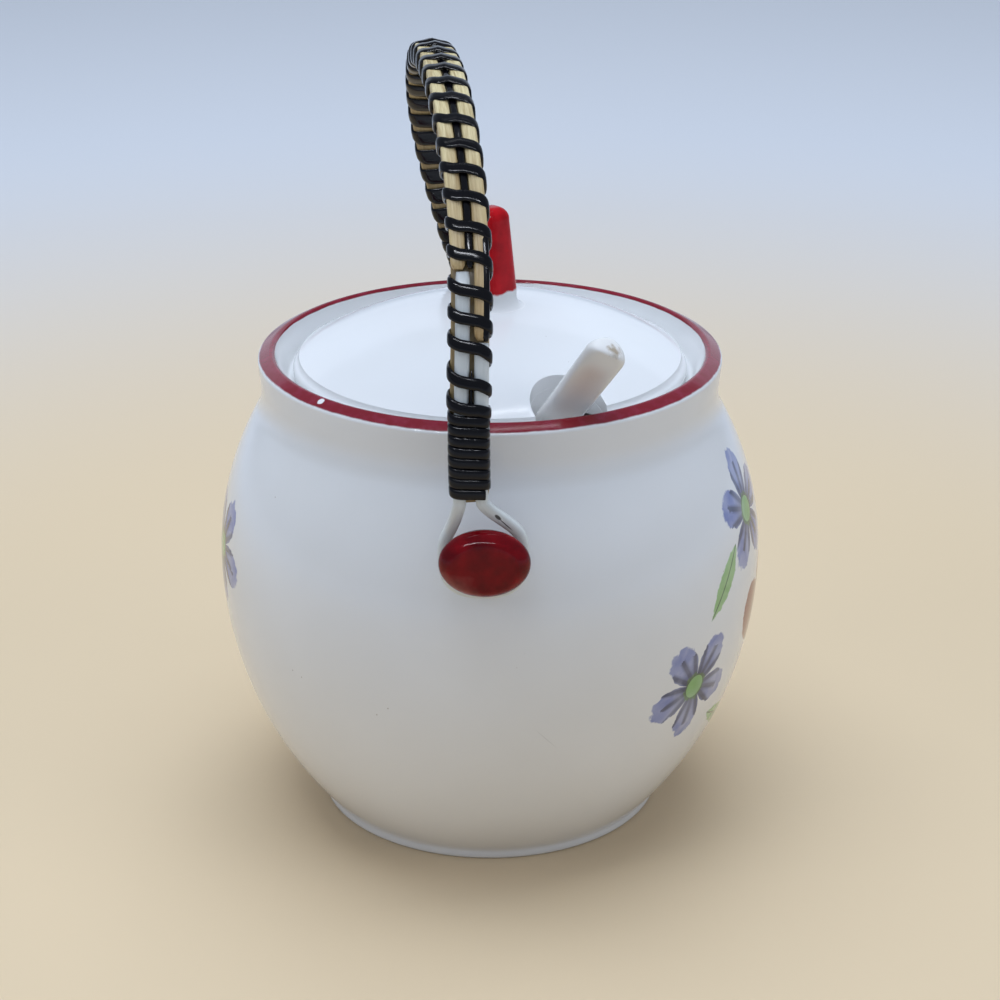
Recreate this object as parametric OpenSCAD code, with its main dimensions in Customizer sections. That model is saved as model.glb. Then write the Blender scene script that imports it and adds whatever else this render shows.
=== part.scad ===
// Jam pot with a recessed lid, a spoon and a swinging bail of bound cane.
// Lengths are in millimetres and +Z is up. The origin is the centre of the foot, on the table.
// One lug points along -Y and one along +Y, and the bail swings about the line between them.

/* [Pot] */
// Greatest radius of the belly
belly_r = 56; // [53:0.5:60]
// Height of the belly's greatest radius
belly_z = 55; // [50:0.5:60]
// Thickness of the pot's wall
wall = 4; // [3:0.25:5]
// Outer radius of the foot
foot_r = 36; // [32:0.5:40]
// Height of the foot
foot_h = 2; // [1.5:0.25:4]
// Width of the ring that the pot stands on
foot_w = 4; // [2:0.5:8]
// Depth of the hollow inside the foot's ring
foot_recess = 1.2; // [0.5:0.1:2]
// Width of the small step between the foot and the belly
foot_step = 0.2; // [0.1:0.05:0.6]
// Height of the floor inside the pot
floor_z = 6; // [4.5:0.5:9]

/* [Rim] */
// Height of the rim's top
rim_z = 98.6; // [94:0.2:104]
// Outer radius of the rim
rim_r = 47; // [44:0.1:49]
// Width of the lip across its top
lip_t = 3.5; // [2.8:0.1:4.5]
// Rounding of the lip's two edges
lip_round = 0.9; // [0.5:0.1:1.2]
// How much lower the lip's outer edge lies than its inner edge
lip_drop = 0.9; // [0.2:0.1:1.5]
// Height of the collar below the rim's top
collar_h = 10.1; // [8:0.1:12]
// How far the neck lies inside the rim's outer radius
neck_in = 0.8; // [0.5:0.1:2]
// Depth of the lid's ledge below the rim's top
ledge_depth = 5.3; // [4:0.1:7]
// Thickness of the ledge
ledge_t = 4; // [3:0.25:5]

/* [Lid] */
// Gap between the lid's edge and the lip
lid_gap = 3.5; // [2.5:0.1:4.5]
// Width of the lid's seat on the ledge
seat_w = 1.8; // [1.2:0.1:3]
// Gap between the lid's edge and the foot of the lip
well_gap = 1; // [0.5:0.1:1.5]
// Thickness of the lid's rounded edge
edge_t = 3.3; // [2.5:0.1:4]
// Width of the edge outside the dome
edge_w = 1.3; // [0.8:0.1:2]
// Height of the crease between the edge and the dome
crease_h = 0.9; // [0.4:0.1:1.5]
// Rise of the dome above the crease
dome_rise = 10.3; // [7:0.1:14]
// Thickness of the dome
dome_t = 3.2; // [2.5:0.1:4]
// Depth of the ring that keeps the lid in the mouth
ring_h = 5; // [3:0.5:8]
// Thickness of that ring
ring_t = 2.4; // [1.8:0.1:3.5]
// Gap between that ring and the mouth
ring_gap = 0.5; // [0.3:0.05:1]
// Width of the notch for the spoon
notch_w = 15; // [13.5:0.25:18]
// Depth of the notch from the lid's edge
notch_depth = 10.5; // [9:0.25:13]
// Direction of the notch, from the front towards +X
notch_az = 24; // [20:1:28]

/* [Knob] */
// Height of the knob above its seat on the dome
knob_h = 20.4; // [15:0.2:24]
// Half width of the knob where it leaves its flared base
knob_low = 4; // [3.2:0.1:5]
// Half width of the knob below its rounded top
knob_high = 2.9; // [2.2:0.1:4]
// Height of the flared base
knob_flare_h = 3; // [2:0.1:4]
// Rounding of the knob's top
knob_round = 2.5; // [1.5:0.1:3]

/* [Lugs] */
// Height of the lugs and of the bail's swing axis
lug_z = 77.5; // [74:0.5:80]
// Radius of the neck that carries the loop
neck_r = 4.7; // [4:0.1:5.5]
// Radius of the pad under the neck
pad_r = 6; // [5.2:0.1:7]
// How far the pad stands out from the wall
pad_proud = 0.6; // [0.3:0.1:1.5]
// Half width of the lug's oval head
head_a = 8.4; // [7.5:0.1:10]
// Half height of the lug's oval head
head_b = 6.1; // [5.4:0.1:7.5]
// Thickness of the lug's head
head_t = 4.8; // [3.5:0.1:6]

/* [Bail] */
// Height of the arch's centre line above the lugs
bail_rise = 79.5; // [74:0.5:90]
// How far the legs stand outside the loops' plane
bail_out = 1.6; // [1:0.1:2.5]
// Sideways lean of the hand-bent arch at its top
bail_lean = 9.5; // [0:0.5:12]
// Twist of the hand-bent arch at its top
bail_twist = 6.5; // [0:0.5:8]
// Width of the cane bundle
bundle_w = 6.4; // [6.2:0.1:7.5]
// Thickness of each of the bundle's two layers
layer_t = 1.9; // [1.6:0.1:2.4]
// Width of the dark strip along the back of the arch
spine_w = 1.3; // [1:0.1:1.6]
// Distance of the cane's ends from the lugs' axis, along the arch
cane_start = 12.5; // [11:0.25:15]
// Diameter of the loop's strand
strand_d = 2.8; // [2.4:0.1:3]
// Length of the loop's long strand, along the arch
strand_long = 55; // [45:1:65]
// Length of the loop's short strand, along the arch
strand_short = 41; // [35:1:44]

/* [Wrapping] */
// Thickness of the wrapping strip
wrap_t = 0.6; // [0.4:0.05:0.8]
// Width of the strip in the open turns
wrap_w = 2.2; // [1.8:0.1:2.6]
// Spacing of the open turns
wrap_pitch = 5.5; // [4.5:0.1:7]
// Width of the strip in the tight binding
bind_w = 1.65; // [1.4:0.05:1.8]
// Spacing of the tight binding's turns
bind_pitch = 2.12; // [2.1:0.02:2.5]
// Number of turns in each tight binding
bind_turns = 7; // [5:1:9]

/* [Spoon] */
// Length of handle that shows above the ledge
spoon_above = 25; // [20:0.5:30]
// Distance of the handle's middle inside the mouth, at the ledge
spoon_in = 4; // [3.4:0.1:5]
// Direction of the handle at the ledge, from the front towards +X
spoon_az = 21; // [19:0.1:23]
// Slope of the handle above the horizontal
spoon_slope = 52.5; // [48:0.5:58]
// Direction in plan that the handle leans to, from +X
spoon_heading = -43.7; // [-50:0.1:-38]
// Turn of the spoon about its own length
spoon_roll = -47; // [-60:1:-35]
// Width of the handle near its end
handle_w = 8; // [6.5:0.1:8.5]
// Width of the handle where it joins the bowl
shank_w = 5.4; // [4.5:0.1:6]
// Depth of the rounded back of the handle
handle_back = 3; // [2.4:0.1:3.4]
// Depth of the groove along the handle
groove = 1.1; // [0.5:0.1:1.5]
// Width of the spoon's bowl
bowl_w = 25; // [20:0.5:28]
// Length of the spoon's bowl
bowl_l = 36; // [30:0.5:40]
// Depth of the rounded back of the bowl
bowl_back = 6.4; // [5:0.1:7]
// Depth of the bowl's hollow
bowl_dish = 3.9; // [2.5:0.1:3.9]
// Height of the spoon's rounded edges
edge_rise = 1.4; // [1:0.1:1.8]

/* [Hidden] */
$fn = 128;
// Arc radii are whole numbers of this length, so that two arcs meet without a step
arc_grid = 0.001;
// Every cut runs past its faces by this much
overrun = 1;
// Room between the bail's own strips
strip_gap = 0.1;
// Room between the bundle and the strip wound round it
wrap_gap = 0.15;
// Room between the lid and its ledge
seat_gap = 0.05;
// Room between the loop and the lug's neck
loop_gap = 0.3;
// Room beside the loop on the lug's neck
loop_side = 1.3;
// Room between the spoon and the pot's wall
spoon_gap = 0.3;
glaze = "white";
red = "firebrick";
tan_cane = "burlywood";
dark = "black";
pale_cane = "gainsboro";

// Pot outline: two arcs share the belly's height, so they run into each other
collar_z = rim_z - collar_h;
neck_outer_r = rim_r - neck_in;
upper_arc = arc_through(belly_r - neck_outer_r, collar_z - belly_z);
lower_arc = arc_through(belly_r - foot_r + foot_step, belly_z - foot_h);
mouth_r = rim_r - lip_t;
lip_in = [mouth_r + lip_round, rim_z - lip_round];
lip_out = [rim_r - lip_round, lip_in[1] - lip_drop];
// The lip's sloping top runs just under the crowns of its two rounded edges
lip_flush_share = 0.98;
lip_rise = unit([lip_in[1] - lip_out[1], lip_out[0] - lip_in[0]]) * lip_round * lip_flush_share;
lid_r = mouth_r - lid_gap;
throat_r = lid_r - seat_w;
well_r = lid_r + well_gap;
ledge_z = rim_z - ledge_depth;
belly_top = collar_z + neck_in;

// Lid: the dome is part of a ball
seat_z = ledge_z + seat_gap;
dome_r = lid_r - edge_w;
crease_z = seat_z + edge_t + crease_h;
dome_ball = (dome_r * dome_r + dome_rise * dome_rise) / (2 * dome_rise);
dome_top = crease_z + dome_rise;
dome_mid = dome_top - dome_ball;
ring_r = throat_r - ring_gap;
ring_inner = ring_r - ring_t;
knob_sink = 0.32;
knob_z = dome_top - knob_sink;
knob_pad_r = sqrt(dome_ball * dome_ball - pow(dome_ball - knob_sink, 2));
knob_base = knob_pad_r - knob_sink;
knob_rings = 22;
knob_flare_rings = 7;
knob_top_rings = 6;
knob_top_turn = 86;
knob_sides = 40;
knob_square_share = 0.58;

// Lugs: the neck stands on a flat pad and ends at the head
pad_y = outer_r(max(lug_z - pad_r, belly_z)) + pad_proud;
neck_l = strand_d + 2 * loop_side;
loop_y = pad_y + neck_l / 2;
head_y = pad_y + neck_l;
strand_r = strand_d / 2;
loop_r = neck_r + loop_gap + strand_r;
head_sides = 40;
head_mid_share = 0.38;
head_back_share = 0.84;
head_face_share = 0.5;
head_oval_share = 0.92;
head_root_share = 0.25;
head_back_rings = 5;
head_rings = 14;

// Arch of the bail: a superellipse in the plane of the lugs, leaned and twisted as it rises
arch_power_share = 0.806;
bail_half = loop_y + bail_out;
arch_steps = 240;
arch_table = [for (i = 0, run = 0; i <= arch_steps; run = run + arch_step(i), i = i + 1)
    [run, arch_angle(i)]];
bail_len = arch_table[arch_steps][0];
bundle_a = bundle_w / 2;
bundle_b = layer_t + strip_gap / 2;
bundle_cut = 0.7;
strand_x = strand_r + strip_gap / 2;
strip_inner = spine_w / 2 + strip_gap;
strip_rings = 48;
loop_open = 25;
strand_sides = 10;
bend_rings = 8;

// Wrapping: one strip that turns round an eight-sided bundle
turn_rings = 8;
wrap_section_shares = [[1, 0], [0.6, 1], [-0.6, 1], [-1, 0], [-0.6, -1], [0.6, -1]];
wrap_start = cane_start + wrap_w / 2;
bind_len = bind_turns * bind_pitch;
open_len = bail_len - 2 * (wrap_start + bind_len);
open_turns = round(open_len / wrap_pitch);
wrap_turns = open_turns + 2 * bind_turns;
wrap_off = wrap_gap + wrap_t / 2;
wrap_rings = [for (k = [0:wrap_turns * turn_rings]) wrap_ring(k)];

// Spoon: its bowl reaches down to the wall, and its handle leans on the edge of the mouth
spoon_dir = [cos(spoon_slope) * cos(spoon_heading), cos(spoon_slope) * sin(spoon_heading), sin(spoon_slope)];
spoon_at = [(throat_r - spoon_in) * sin(spoon_az), -(throat_r - spoon_in) * cos(spoon_az), ledge_z];
tip_room = bowl_back / 2 + spoon_gap;
spoon_reach = reach(0, (ledge_z - floor_z) / sin(spoon_slope));
spoon_l = spoon_reach + spoon_above;
spoon_rings = 30;
spoon_sides = 24;
bowl_full_share = 0.7;
bowl_fade_share = 0.6;
edge_share = 0.25;
end_round_share = 0.8;
end_round = handle_w * end_round_share;

// Radius of an arc that drops by dr over a height dz from its vertical tangent, on the grid
function arc_through(dr, dz) = round((dr * dr + dz * dz) / (2 * dr) / arc_grid) * arc_grid;
// Radius of an arc of the pot at a height, drawn in by an inset
function arc_at(arc, z, inset) = belly_r - arc + sqrt(max(pow(arc - inset, 2) - pow(z - belly_z, 2), 0));
function outer_r(z) = arc_at(z > belly_z ? upper_arc : lower_arc, z, 0);
function inner_r(z) = arc_at(z > belly_z ? upper_arc : lower_arc, z, wall);
function unit(v) = v / norm(v);
function spow(v, p) = sign(v) * pow(abs(v), p);

// Arch angle of a step, from the front lug at -90 to the back lug at 90
function arch_angle(i) = -90 + 180 * i / arch_steps;
function arch_s(t) = bail_half * spow(sin(t), arch_power_share);
function arch_h(t) = bail_rise * pow(max(cos(t), 0), arch_power_share);
function arch_x(t) = let (q = sin(90 * arch_h(t) / bail_rise))
    -bail_lean * q - arch_s(t) * tan(bail_twist * q * q);
function arch_p(t) = [arch_x(t), arch_s(t), lug_z + arch_h(t)];
function arch_step(i) = i < arch_steps ? norm(arch_p(arch_angle(i + 1)) - arch_p(arch_angle(i))) : 0;
// Point on the arch at a length from the front lug's axis, and its along, side and outward directions
function arch_at(run) = arch_p(lookup(run, arch_table));
function arch_along(run) = unit(arch_at(run + wrap_w / 2) - arch_at(run - wrap_w / 2));
function arch_side(run) = let (t = arch_along(run)) unit([1, 0, 0] - t[0] * t);
function arch_out(run) = cross(arch_side(run), arch_along(run));
// Section of the bail at a length: points given as side and outward offsets
function arch_ring(run, section) = let (p = arch_at(run), s = arch_side(run), n = arch_out(run))
    [for (q = section) p + q[0] * s + q[1] * n];

// Section of a strip between two sides and two depths, with its own corner cut at each side
function strip_section(x0, x1, n0, n1, cut0, cut1) = [
    [x1, n0 + cut1], [x1, n1 - cut1], [x1 - cut1, n1], [x0 + cut0, n1],
    [x0, n1 - cut0], [x0, n0 + cut0], [x0 + cut0, n0], [x1 - cut1, n0]];

// Wrapping: turns passed at a ring, and the length along the arch that they have reached
function wrap_run(turn) = turn <= bind_turns ? wrap_start + turn * bind_pitch
    : turn <= bind_turns + open_turns ? wrap_start + bind_len + (turn - bind_turns) * open_len / open_turns
    : wrap_start + bind_len + open_len + (turn - bind_turns - open_turns) * bind_pitch;
function wrap_edge(turn) = min(turn, wrap_turns - turn) - bind_turns;
function wrap_half(turn) = (bind_w + (wrap_w - bind_w) * min(max(wrap_edge(turn), 0), 1)) / 2;
// Corner of the eight-sided bundle, and the direction that bisects it
function wrap_corner(k) = let (a = bundle_a + wrap_off, b = bundle_b + wrap_off,
    c = bundle_cut + wrap_off * (2 - sqrt(2)), i = k % turn_rings)
    [[a, b - c], [a - c, b], [c - a, b], [-a, b - c], [-a, c - b], [c - a, -b], [a - c, -b], [a, c - b]][i];
function wrap_ring(k) = let (turn = k / turn_rings, run = wrap_run(turn), w = wrap_half(turn),
    i = k % turn_rings, turned = 22.5 + 45 * i, h = wrap_t / 2 / cos(22.5), q = wrap_corner(k),
    p = arch_at(run), t = arch_along(run), s = arch_side(run), n = arch_out(run),
    o = cos(turned) * s + sin(turned) * n, m = p + q[0] * s + q[1] * n)
    [for (e = wrap_section_shares) m + e[0] * w * t + e[1] * h * o];
wrap_self_gap = min([for (k = [0:len(wrap_rings) - turn_rings - 3], d = [turn_rings - 2:turn_rings + 2],
    a = wrap_rings[k], b = wrap_rings[k + d]) norm(a - b)]);
echo(wrap_self_gap = wrap_self_gap, wrap_turns = wrap_turns, spoon_length = spoon_l);

// Length from the ledge down the spoon at which its bowl comes as near the wall as it may, by halving
function spoon_room(run) = let (p = spoon_at - run * spoon_dir)
    min(inner_r(p[2]) - norm([p[0], p[1]]), p[2] - floor_z) - tip_room;
function reach(lo, hi, n = 24) = n == 0 ? lo : let (mid = (lo + hi) / 2)
    spoon_room(mid) > 0 ? reach(mid, hi, n - 1) : reach(lo, mid, n - 1);

// Spoon sections, at a length from the bowl's tip
function spoon_run(i) = spoon_l * (1 - cos(180 * i / spoon_rings)) / 2;
function bowl_half(s) = s < bowl_l ? bowl_w / 2 * sqrt(max(1 - pow(2 * s / bowl_l - 1, 2), 0)) : 0;
function end_share(s) = s > spoon_l - end_round ? sqrt(max(1 - pow((s - spoon_l) / end_round + 1, 2), 0)) : 1;
function handle_half(s) = let (q = min(max((s - bowl_l) / (spoon_l - bowl_l - end_round), 0), 1))
    s < bowl_l / 2 ? 0 : (shank_w + (handle_w - shank_w) * q) / 2 * end_share(s);
function spoon_half(s) = pow(pow(bowl_half(s), 3) + pow(handle_half(s), 3), 1 / 3);
// Share of the bowl in a section: 1 in the bowl, falling to 0 along the shank
function bowl_share(s) = let (q = min(max((s / bowl_l - bowl_full_share) / bowl_fade_share, 0), 1))
    (1 + cos(180 * q)) / 2;
function spoon_ring(s) = let (w = max(spoon_half(s), spoon_gap), b = bowl_share(s),
    slim = min(1, w / (shank_w / 2)),
    back = slim * (handle_back + (bowl_back - handle_back) * b),
    dish = slim * (groove + (bowl_dish - groove) * b), rise = slim * edge_rise)
    [for (j = [0:spoon_sides - 1]) let (f = 360 * j / spoon_sides, u = sin(f))
        [u > 0 ? rise * min(1, u / edge_share) - dish * u * u : back * u, w * cos(f), s - spoon_reach]];

// Skin over a row of rings with as many points each, closed at both ends.
// The points run clockwise as seen from the last ring
module skin(rings) {
    n = len(rings[0]);
    m = len(rings);
    sides = [for (i = [0:m - 2], j = [0:n - 1]) let (a = i * n + j, b = i * n + (j + 1) % n)
        each [[a, b, b + n], [a, b + n, a + n]]];
    first = [for (j = [1:n - 2]) [0, j + 1, j]];
    last = [for (j = [1:n - 2]) let (k = (m - 1) * n) [k, k + j, k + j + 1]];
    polyhedron(points = [for (r = rings) each r], faces = concat(sides, first, last));
}

// Half section of the pot's belly, drawn in by an inset
module belly_section(inset, low, high) {
    intersection() {
        translate([belly_r - upper_arc, belly_z])
            circle(r = upper_arc - inset);
        translate([0, belly_z])
            square([belly_r + overrun, high - belly_z]);
    }
    intersection() {
        translate([belly_r - lower_arc, belly_z])
            circle(r = lower_arc - inset);
        translate([0, low])
            square([belly_r + overrun, belly_z - low]);
    }
}

// Half section of the collar, which widens upwards, with the lid's ledge and the lip
module collar_section() {
    widening = neck_in / (lip_out[1] - collar_z);
    polygon([[throat_r, ledge_z - ledge_t], [throat_r, ledge_z], [well_r, ledge_z], [mouth_r, lip_in[1]],
        lip_in + lip_rise, lip_out + lip_rise, [rim_r, lip_out[1]],
        [neck_outer_r - overrun * widening, collar_z - overrun]]);
    for (edge = [lip_in, lip_out])
        translate(edge)
            circle(r = lip_round);
}

module pot_body() {
    color(glaze) {
        rotate_extrude() {
            difference() {
                union() {
                    belly_section(0, 0, belly_top);
                    square([foot_r, foot_h]);
                }
                belly_section(wall, floor_z, belly_top + overrun);
                translate([0, belly_z])
                    square([throat_r, belly_top + overrun - belly_z]);
                translate([0, -overrun])
                    square([foot_r - foot_w, foot_recess + overrun]);
            }
            collar_section();
        }
        lug_pad();
        mirror([0, 1, 0])
            lug_pad();
    }
}

// Flat pad that a lug's neck stands on; its inner end lies in the middle of the wall
module lug_pad() {
    difference() {
        translate([0, -pad_y, lug_z])
            rotate([-90, 0, 0])
                cylinder(r = pad_r, h = pad_y - inner_r(lug_z + pad_r));
        rotate_extrude()
            belly_section(wall / 2, floor_z, belly_top);
    }
}

// Lug at the front: round neck and an oval head, broader than it is high, with a flattened face
module lug() {
    translate([0, -pad_y, lug_z])
        rotate([90, 0, 0]) {
            cylinder(r = neck_r, h = neck_l + head_t * head_root_share);
            translate([0, 0, neck_l])
                skin([for (i = [0:head_rings]) head_ring(i)]);
        }
}
function head_ring(i) = let (low = i < head_back_rings,
    a = 90 * (low ? 1 - i / head_back_rings : (i - head_back_rings) / (head_rings - head_back_rings)),
    k = low ? head_back_share : head_face_share, f = k + (1 - k) * cos(a),
    z = head_t * (low ? head_mid_share * (1 - sin(a)) : head_mid_share + (1 - head_mid_share) * sin(a)))
    [for (j = [0:head_sides - 1]) let (t = -360 * j / head_sides)
        [head_a * f * spow(cos(t), head_oval_share), head_b * f * spow(sin(t), head_oval_share), z]];

module lug_front() {
    color(red)
        lug();
}

module lug_back() {
    color(red)
        rotate([0, 0, 180])
            lug();
}

// Lid: dome, rounded edge and the ring that keeps it in the mouth, with the notch for the spoon
module lid() {
    color(glaze)
        difference() {
            rotate_extrude()
                lid_section();
            notch(notch_w, dome_top);
            notch(notch_w + 2 * ring_t, seat_z);
            translate([0, 0, knob_z])
                cylinder(r = knob_pad_r + overrun, h = knob_sink + overrun);
        }
}

module lid_section() {
    difference() {
        union() {
            intersection() {
                translate([0, dome_mid])
                    circle(r = dome_ball);
                translate([0, seat_z])
                    square([dome_r, dome_top - seat_z]);
            }
            translate([0, seat_z])
                square([lid_r - edge_t / 2, edge_t]);
            translate([lid_r - edge_t / 2, seat_z + edge_t / 2])
                circle(r = edge_t / 2);
            translate([ring_inner, seat_z - ring_h])
                square([ring_t, ring_h + edge_t]);
        }
        intersection() {
            translate([0, dome_mid])
                circle(r = dome_ball - dome_t);
            translate([0, seat_z - ring_h - overrun])
                square([ring_inner, dome_top]);
        }
    }
}

// Upright slot with a round inner end, open at the lid's edge, from under the ring to a height
module notch(width, high) {
    low = seat_z - ring_h - overrun;
    inner = lid_r - notch_depth + width / 2;
    rotate([0, 0, notch_az])
        translate([0, -inner, low]) {
            cylinder(r = width / 2, h = high - low);
            translate([-width / 2, -lid_r, 0])
                cube([width, lid_r, high - low]);
        }
}

// Knob: four-sided with a corner to the front, flared at its base, tapered and rounded on top
module lid_knob() {
    color(red)
        translate([0, 0, knob_z])
            rotate([0, 0, 45])
                skin([for (i = [0:knob_rings]) knob_ring(i)]);
}
function knob_ring(i) = let (flare = knob_flare_rings, top = knob_rings - knob_top_rings,
    z = i <= flare ? knob_flare_h * (1 - cos(90 * i / flare))
        : i <= top ? knob_flare_h + (knob_h - knob_flare_h - knob_round) * (i - flare) / (top - flare)
        : knob_h - knob_round * (1 - sin(90 * (i - top) / (knob_rings - top))),
    half = i <= flare ? knob_low + (knob_base - knob_low) * (1 - sin(90 * i / flare))
        : i <= top ? knob_low + (knob_high - knob_low) * (i - flare) / (top - flare)
        : knob_high - knob_round * (1 - cos(knob_top_turn * (i - top) / (knob_rings - top))),
    power = i < flare ? 1 + (knob_square_share - 1) * i / flare : knob_square_share)
    [for (j = [0:knob_sides - 1]) let (t = -360 * j / knob_sides)
        [half * spow(cos(t), power), half * spow(sin(t), power), z]];

module spoon() {
    color(glaze)
        translate(spoon_at)
            rotate([0, 90 - spoon_slope, spoon_heading])
                rotate([0, 0, spoon_roll])
                    skin([for (i = [0:spoon_rings]) spoon_ring(spoon_run(i))]);
}

// Strip of the bail between two lengths along the arch
module bail_strip(section, from, to) {
    skin([for (i = [0:strip_rings]) arch_ring(from + (to - from) * i / strip_rings, section)]);
}

module cane_inner() {
    color(tan_cane)
        bail_strip(strip_section(-bundle_a, bundle_a, -bundle_b, -strip_gap / 2, bundle_cut, bundle_cut),
            cane_start, bail_len - cane_start);
}

module cane_left() {
    color(tan_cane)
        bail_strip(strip_section(-bundle_a, -strip_inner, strip_gap / 2, bundle_b, bundle_cut, strip_gap),
            strand_long + strip_gap, bail_len - strand_short - strip_gap);
}

module cane_right() {
    color(tan_cane)
        bail_strip(strip_section(strip_inner, bundle_a, strip_gap / 2, bundle_b, strip_gap, bundle_cut),
            strand_short + strip_gap, bail_len - strand_long - strip_gap);
}

module spine_strip() {
    color(dark)
        bail_strip(strip_section(-spine_w / 2, spine_w / 2, strip_gap / 2, bundle_b, strip_gap, strip_gap),
            strand_long + strip_gap, bail_len - strand_long - strip_gap);
}

// Loop at one end: a round bend under the lug's neck, and two strands that run up into the bundle
module bail_loop(end) {
    color(pale_cane) {
        translate([0, end * loop_y, lug_z])
            rotate([90, 0, 0])
                rotate([0, 0, 180 - loop_open])
                    rotate_extrude(angle = 180 + 2 * loop_open)
                        translate([loop_r, 0])
                            circle(r = strand_r);
        strand(end, end, strand_long);
        strand(end, -end, strand_short);
    }
}

// Strand of a loop on one side: a bend from the loop, then up the bundle's outer layer
module strand(end, side, top) {
    start = [side * loop_r * cos(loop_open), end * loop_y, lug_z + loop_r * sin(loop_open)];
    start_dir = [-side * sin(loop_open), 0, cos(loop_open)];
    finish = leg_point(end, cane_start, side);
    finish_dir = leg_up(end, cane_start);
    pull = norm(finish - start) / 2;
    route = [start, start + pull * start_dir, finish - pull * finish_dir, finish];
    bend = [for (i = [0:bend_rings - 1]) let (q = i / bend_rings)
        tube_ring(bend_at(q, route), bend_dir(q, route), strand_r + (layer_t / 2 - strand_r) * q)];
    run = [for (i = [0:bend_rings]) let (e = cane_start + (top - cane_start) * i / bend_rings)
        tube_ring(leg_point(end, e, side), leg_up(end, e), layer_t / 2)];
    skin(concat([[for (p = bend[0]) p - strand_r / 2 * start_dir]], bend, run));
}
// Point of a strand in a leg, at a length from the lug's axis, and the way up the leg there
function leg_run(end, e) = end < 0 ? e : bail_len - e;
function leg_up(end, e) = -end * arch_along(leg_run(end, e));
function leg_point(end, e, side) = let (r = leg_run(end, e))
    arch_at(r) + side * strand_x * arch_side(r) + (strip_gap + layer_t) / 2 * arch_out(r);
function tube_ring(p, d, flat) = let (s = unit([1, 0, 0] - d[0] * d), n = cross(s, d))
    [for (j = [0:strand_sides - 1]) let (a = 360 * j / strand_sides)
        p + strand_r * cos(a) * s + flat * sin(a) * n];
function bend_at(q, r) = pow(1 - q, 3) * r[0] + 3 * q * pow(1 - q, 2) * r[1] + 3 * q * q * (1 - q) * r[2]
    + pow(q, 3) * r[3];
function bend_dir(q, r) = unit(pow(1 - q, 2) * (r[1] - r[0]) + 2 * q * (1 - q) * (r[2] - r[1])
    + q * q * (r[3] - r[2]));

module loop_front() {
    bail_loop(-1);
}

module loop_back() {
    bail_loop(1);
}

module wrap() {
    color(dark)
        skin(wrap_rings);
}

pot_body();
lug_front();
lug_back();
lid();
lid_knob();
spoon();
cane_inner();
cane_left();
cane_right();
spine_strip();
loop_front();
loop_back();
wrap();
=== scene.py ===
"""Looks of a jam pot: glazed body, lid, spoon, and a swinging bail of bound cane."""
import logging
import math
from dataclasses import dataclass, field
from enum import Enum

import bmesh
import bpy
from mathutils import Matrix, Vector


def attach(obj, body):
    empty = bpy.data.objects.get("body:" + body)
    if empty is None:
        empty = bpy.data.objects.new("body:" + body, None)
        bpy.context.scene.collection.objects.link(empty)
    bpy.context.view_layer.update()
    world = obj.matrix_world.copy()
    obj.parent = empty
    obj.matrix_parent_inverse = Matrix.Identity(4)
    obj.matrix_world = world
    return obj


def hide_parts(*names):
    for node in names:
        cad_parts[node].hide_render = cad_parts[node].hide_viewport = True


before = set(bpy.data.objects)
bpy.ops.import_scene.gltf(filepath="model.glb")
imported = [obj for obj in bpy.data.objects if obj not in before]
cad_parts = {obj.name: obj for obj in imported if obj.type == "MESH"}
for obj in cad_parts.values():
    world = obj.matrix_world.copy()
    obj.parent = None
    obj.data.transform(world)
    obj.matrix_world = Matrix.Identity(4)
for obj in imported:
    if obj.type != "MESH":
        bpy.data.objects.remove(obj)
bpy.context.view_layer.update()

LOG = logging.getLogger("jam_pot")
MM = 0.001
TURN_STEPS = 224
# Section of the wound strip: flat below, crowned above, as shares of its half width and half thickness.
STRIP_SECTION = [(1, 0.0), (0.93, 0.55), (0.7, 0.9), (0.3, 1.0), (-0.3, 1.0), (-0.7, 0.9), (-0.93, 0.55), (-1, 0.0),
                 (-0.85, -0.6), (0.0, -0.7), (0.85, -0.6)]
Ring = list[Vector]
Profile = list[tuple[float, float]]


class Body(Enum):
    """Rigid bodies that pieces ride on."""

    POT = "pot"
    LID = "lid"
    SPOON = "spoon"
    BAIL = "bail"


class Slot(Enum):
    """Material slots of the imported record."""

    GLAZE = "glaze"
    RED = "red_glaze"
    CANE = "cane"
    PALE = "pale_cane"
    DARK = "dark_cane"


class End(Enum):
    """The two ends of the bail, as the sign of Y."""

    FRONT = -1
    BACK = 1


def linear(code: str) -> tuple[float, float, float, float]:
    """Turns an sRGB hex colour into linear values.

    Args:
        code: Colour as "#RRGGBB".

    Returns:
        Linear red, green and blue, with an alpha of 1.
    """
    parts = [int(code[i:i + 2], 16) / 255 for i in (1, 3, 5)]
    red, green, blue = (c / 12.92 if c <= 0.04045 else ((c + 0.055) / 1.055) ** 2.4 for c in parts)
    return red, green, blue, 1.0


def add(tree: bpy.types.NodeTree, kind: str, sockets: dict | tuple = (), **settings: object) -> bpy.types.Node:
    """Adds a shader node, sets it and links it.

    Args:
        tree: Tree that gets the node.
        kind: Node type without its "ShaderNode" prefix.
        sockets: Values, nodes or output sockets for the inputs, in order or by key.
        settings: Properties of the node.

    Returns:
        The new node.
    """
    made = tree.nodes.new("ShaderNode" + kind)
    for key, value in settings.items():
        setattr(made, key, value)
    for key, value in sockets.items() if isinstance(sockets, dict) else enumerate(sockets):
        if isinstance(value, bpy.types.Node):
            value = value.outputs[0]
        if isinstance(value, bpy.types.NodeSocket):
            tree.links.new(value, made.inputs[key])
        elif value is not None:
            made.inputs[key].default_value = value
    return made


def spow(value: float, power: float) -> float:
    """Power that keeps the value's sign."""
    return math.copysign(abs(value) ** power, value)


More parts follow.
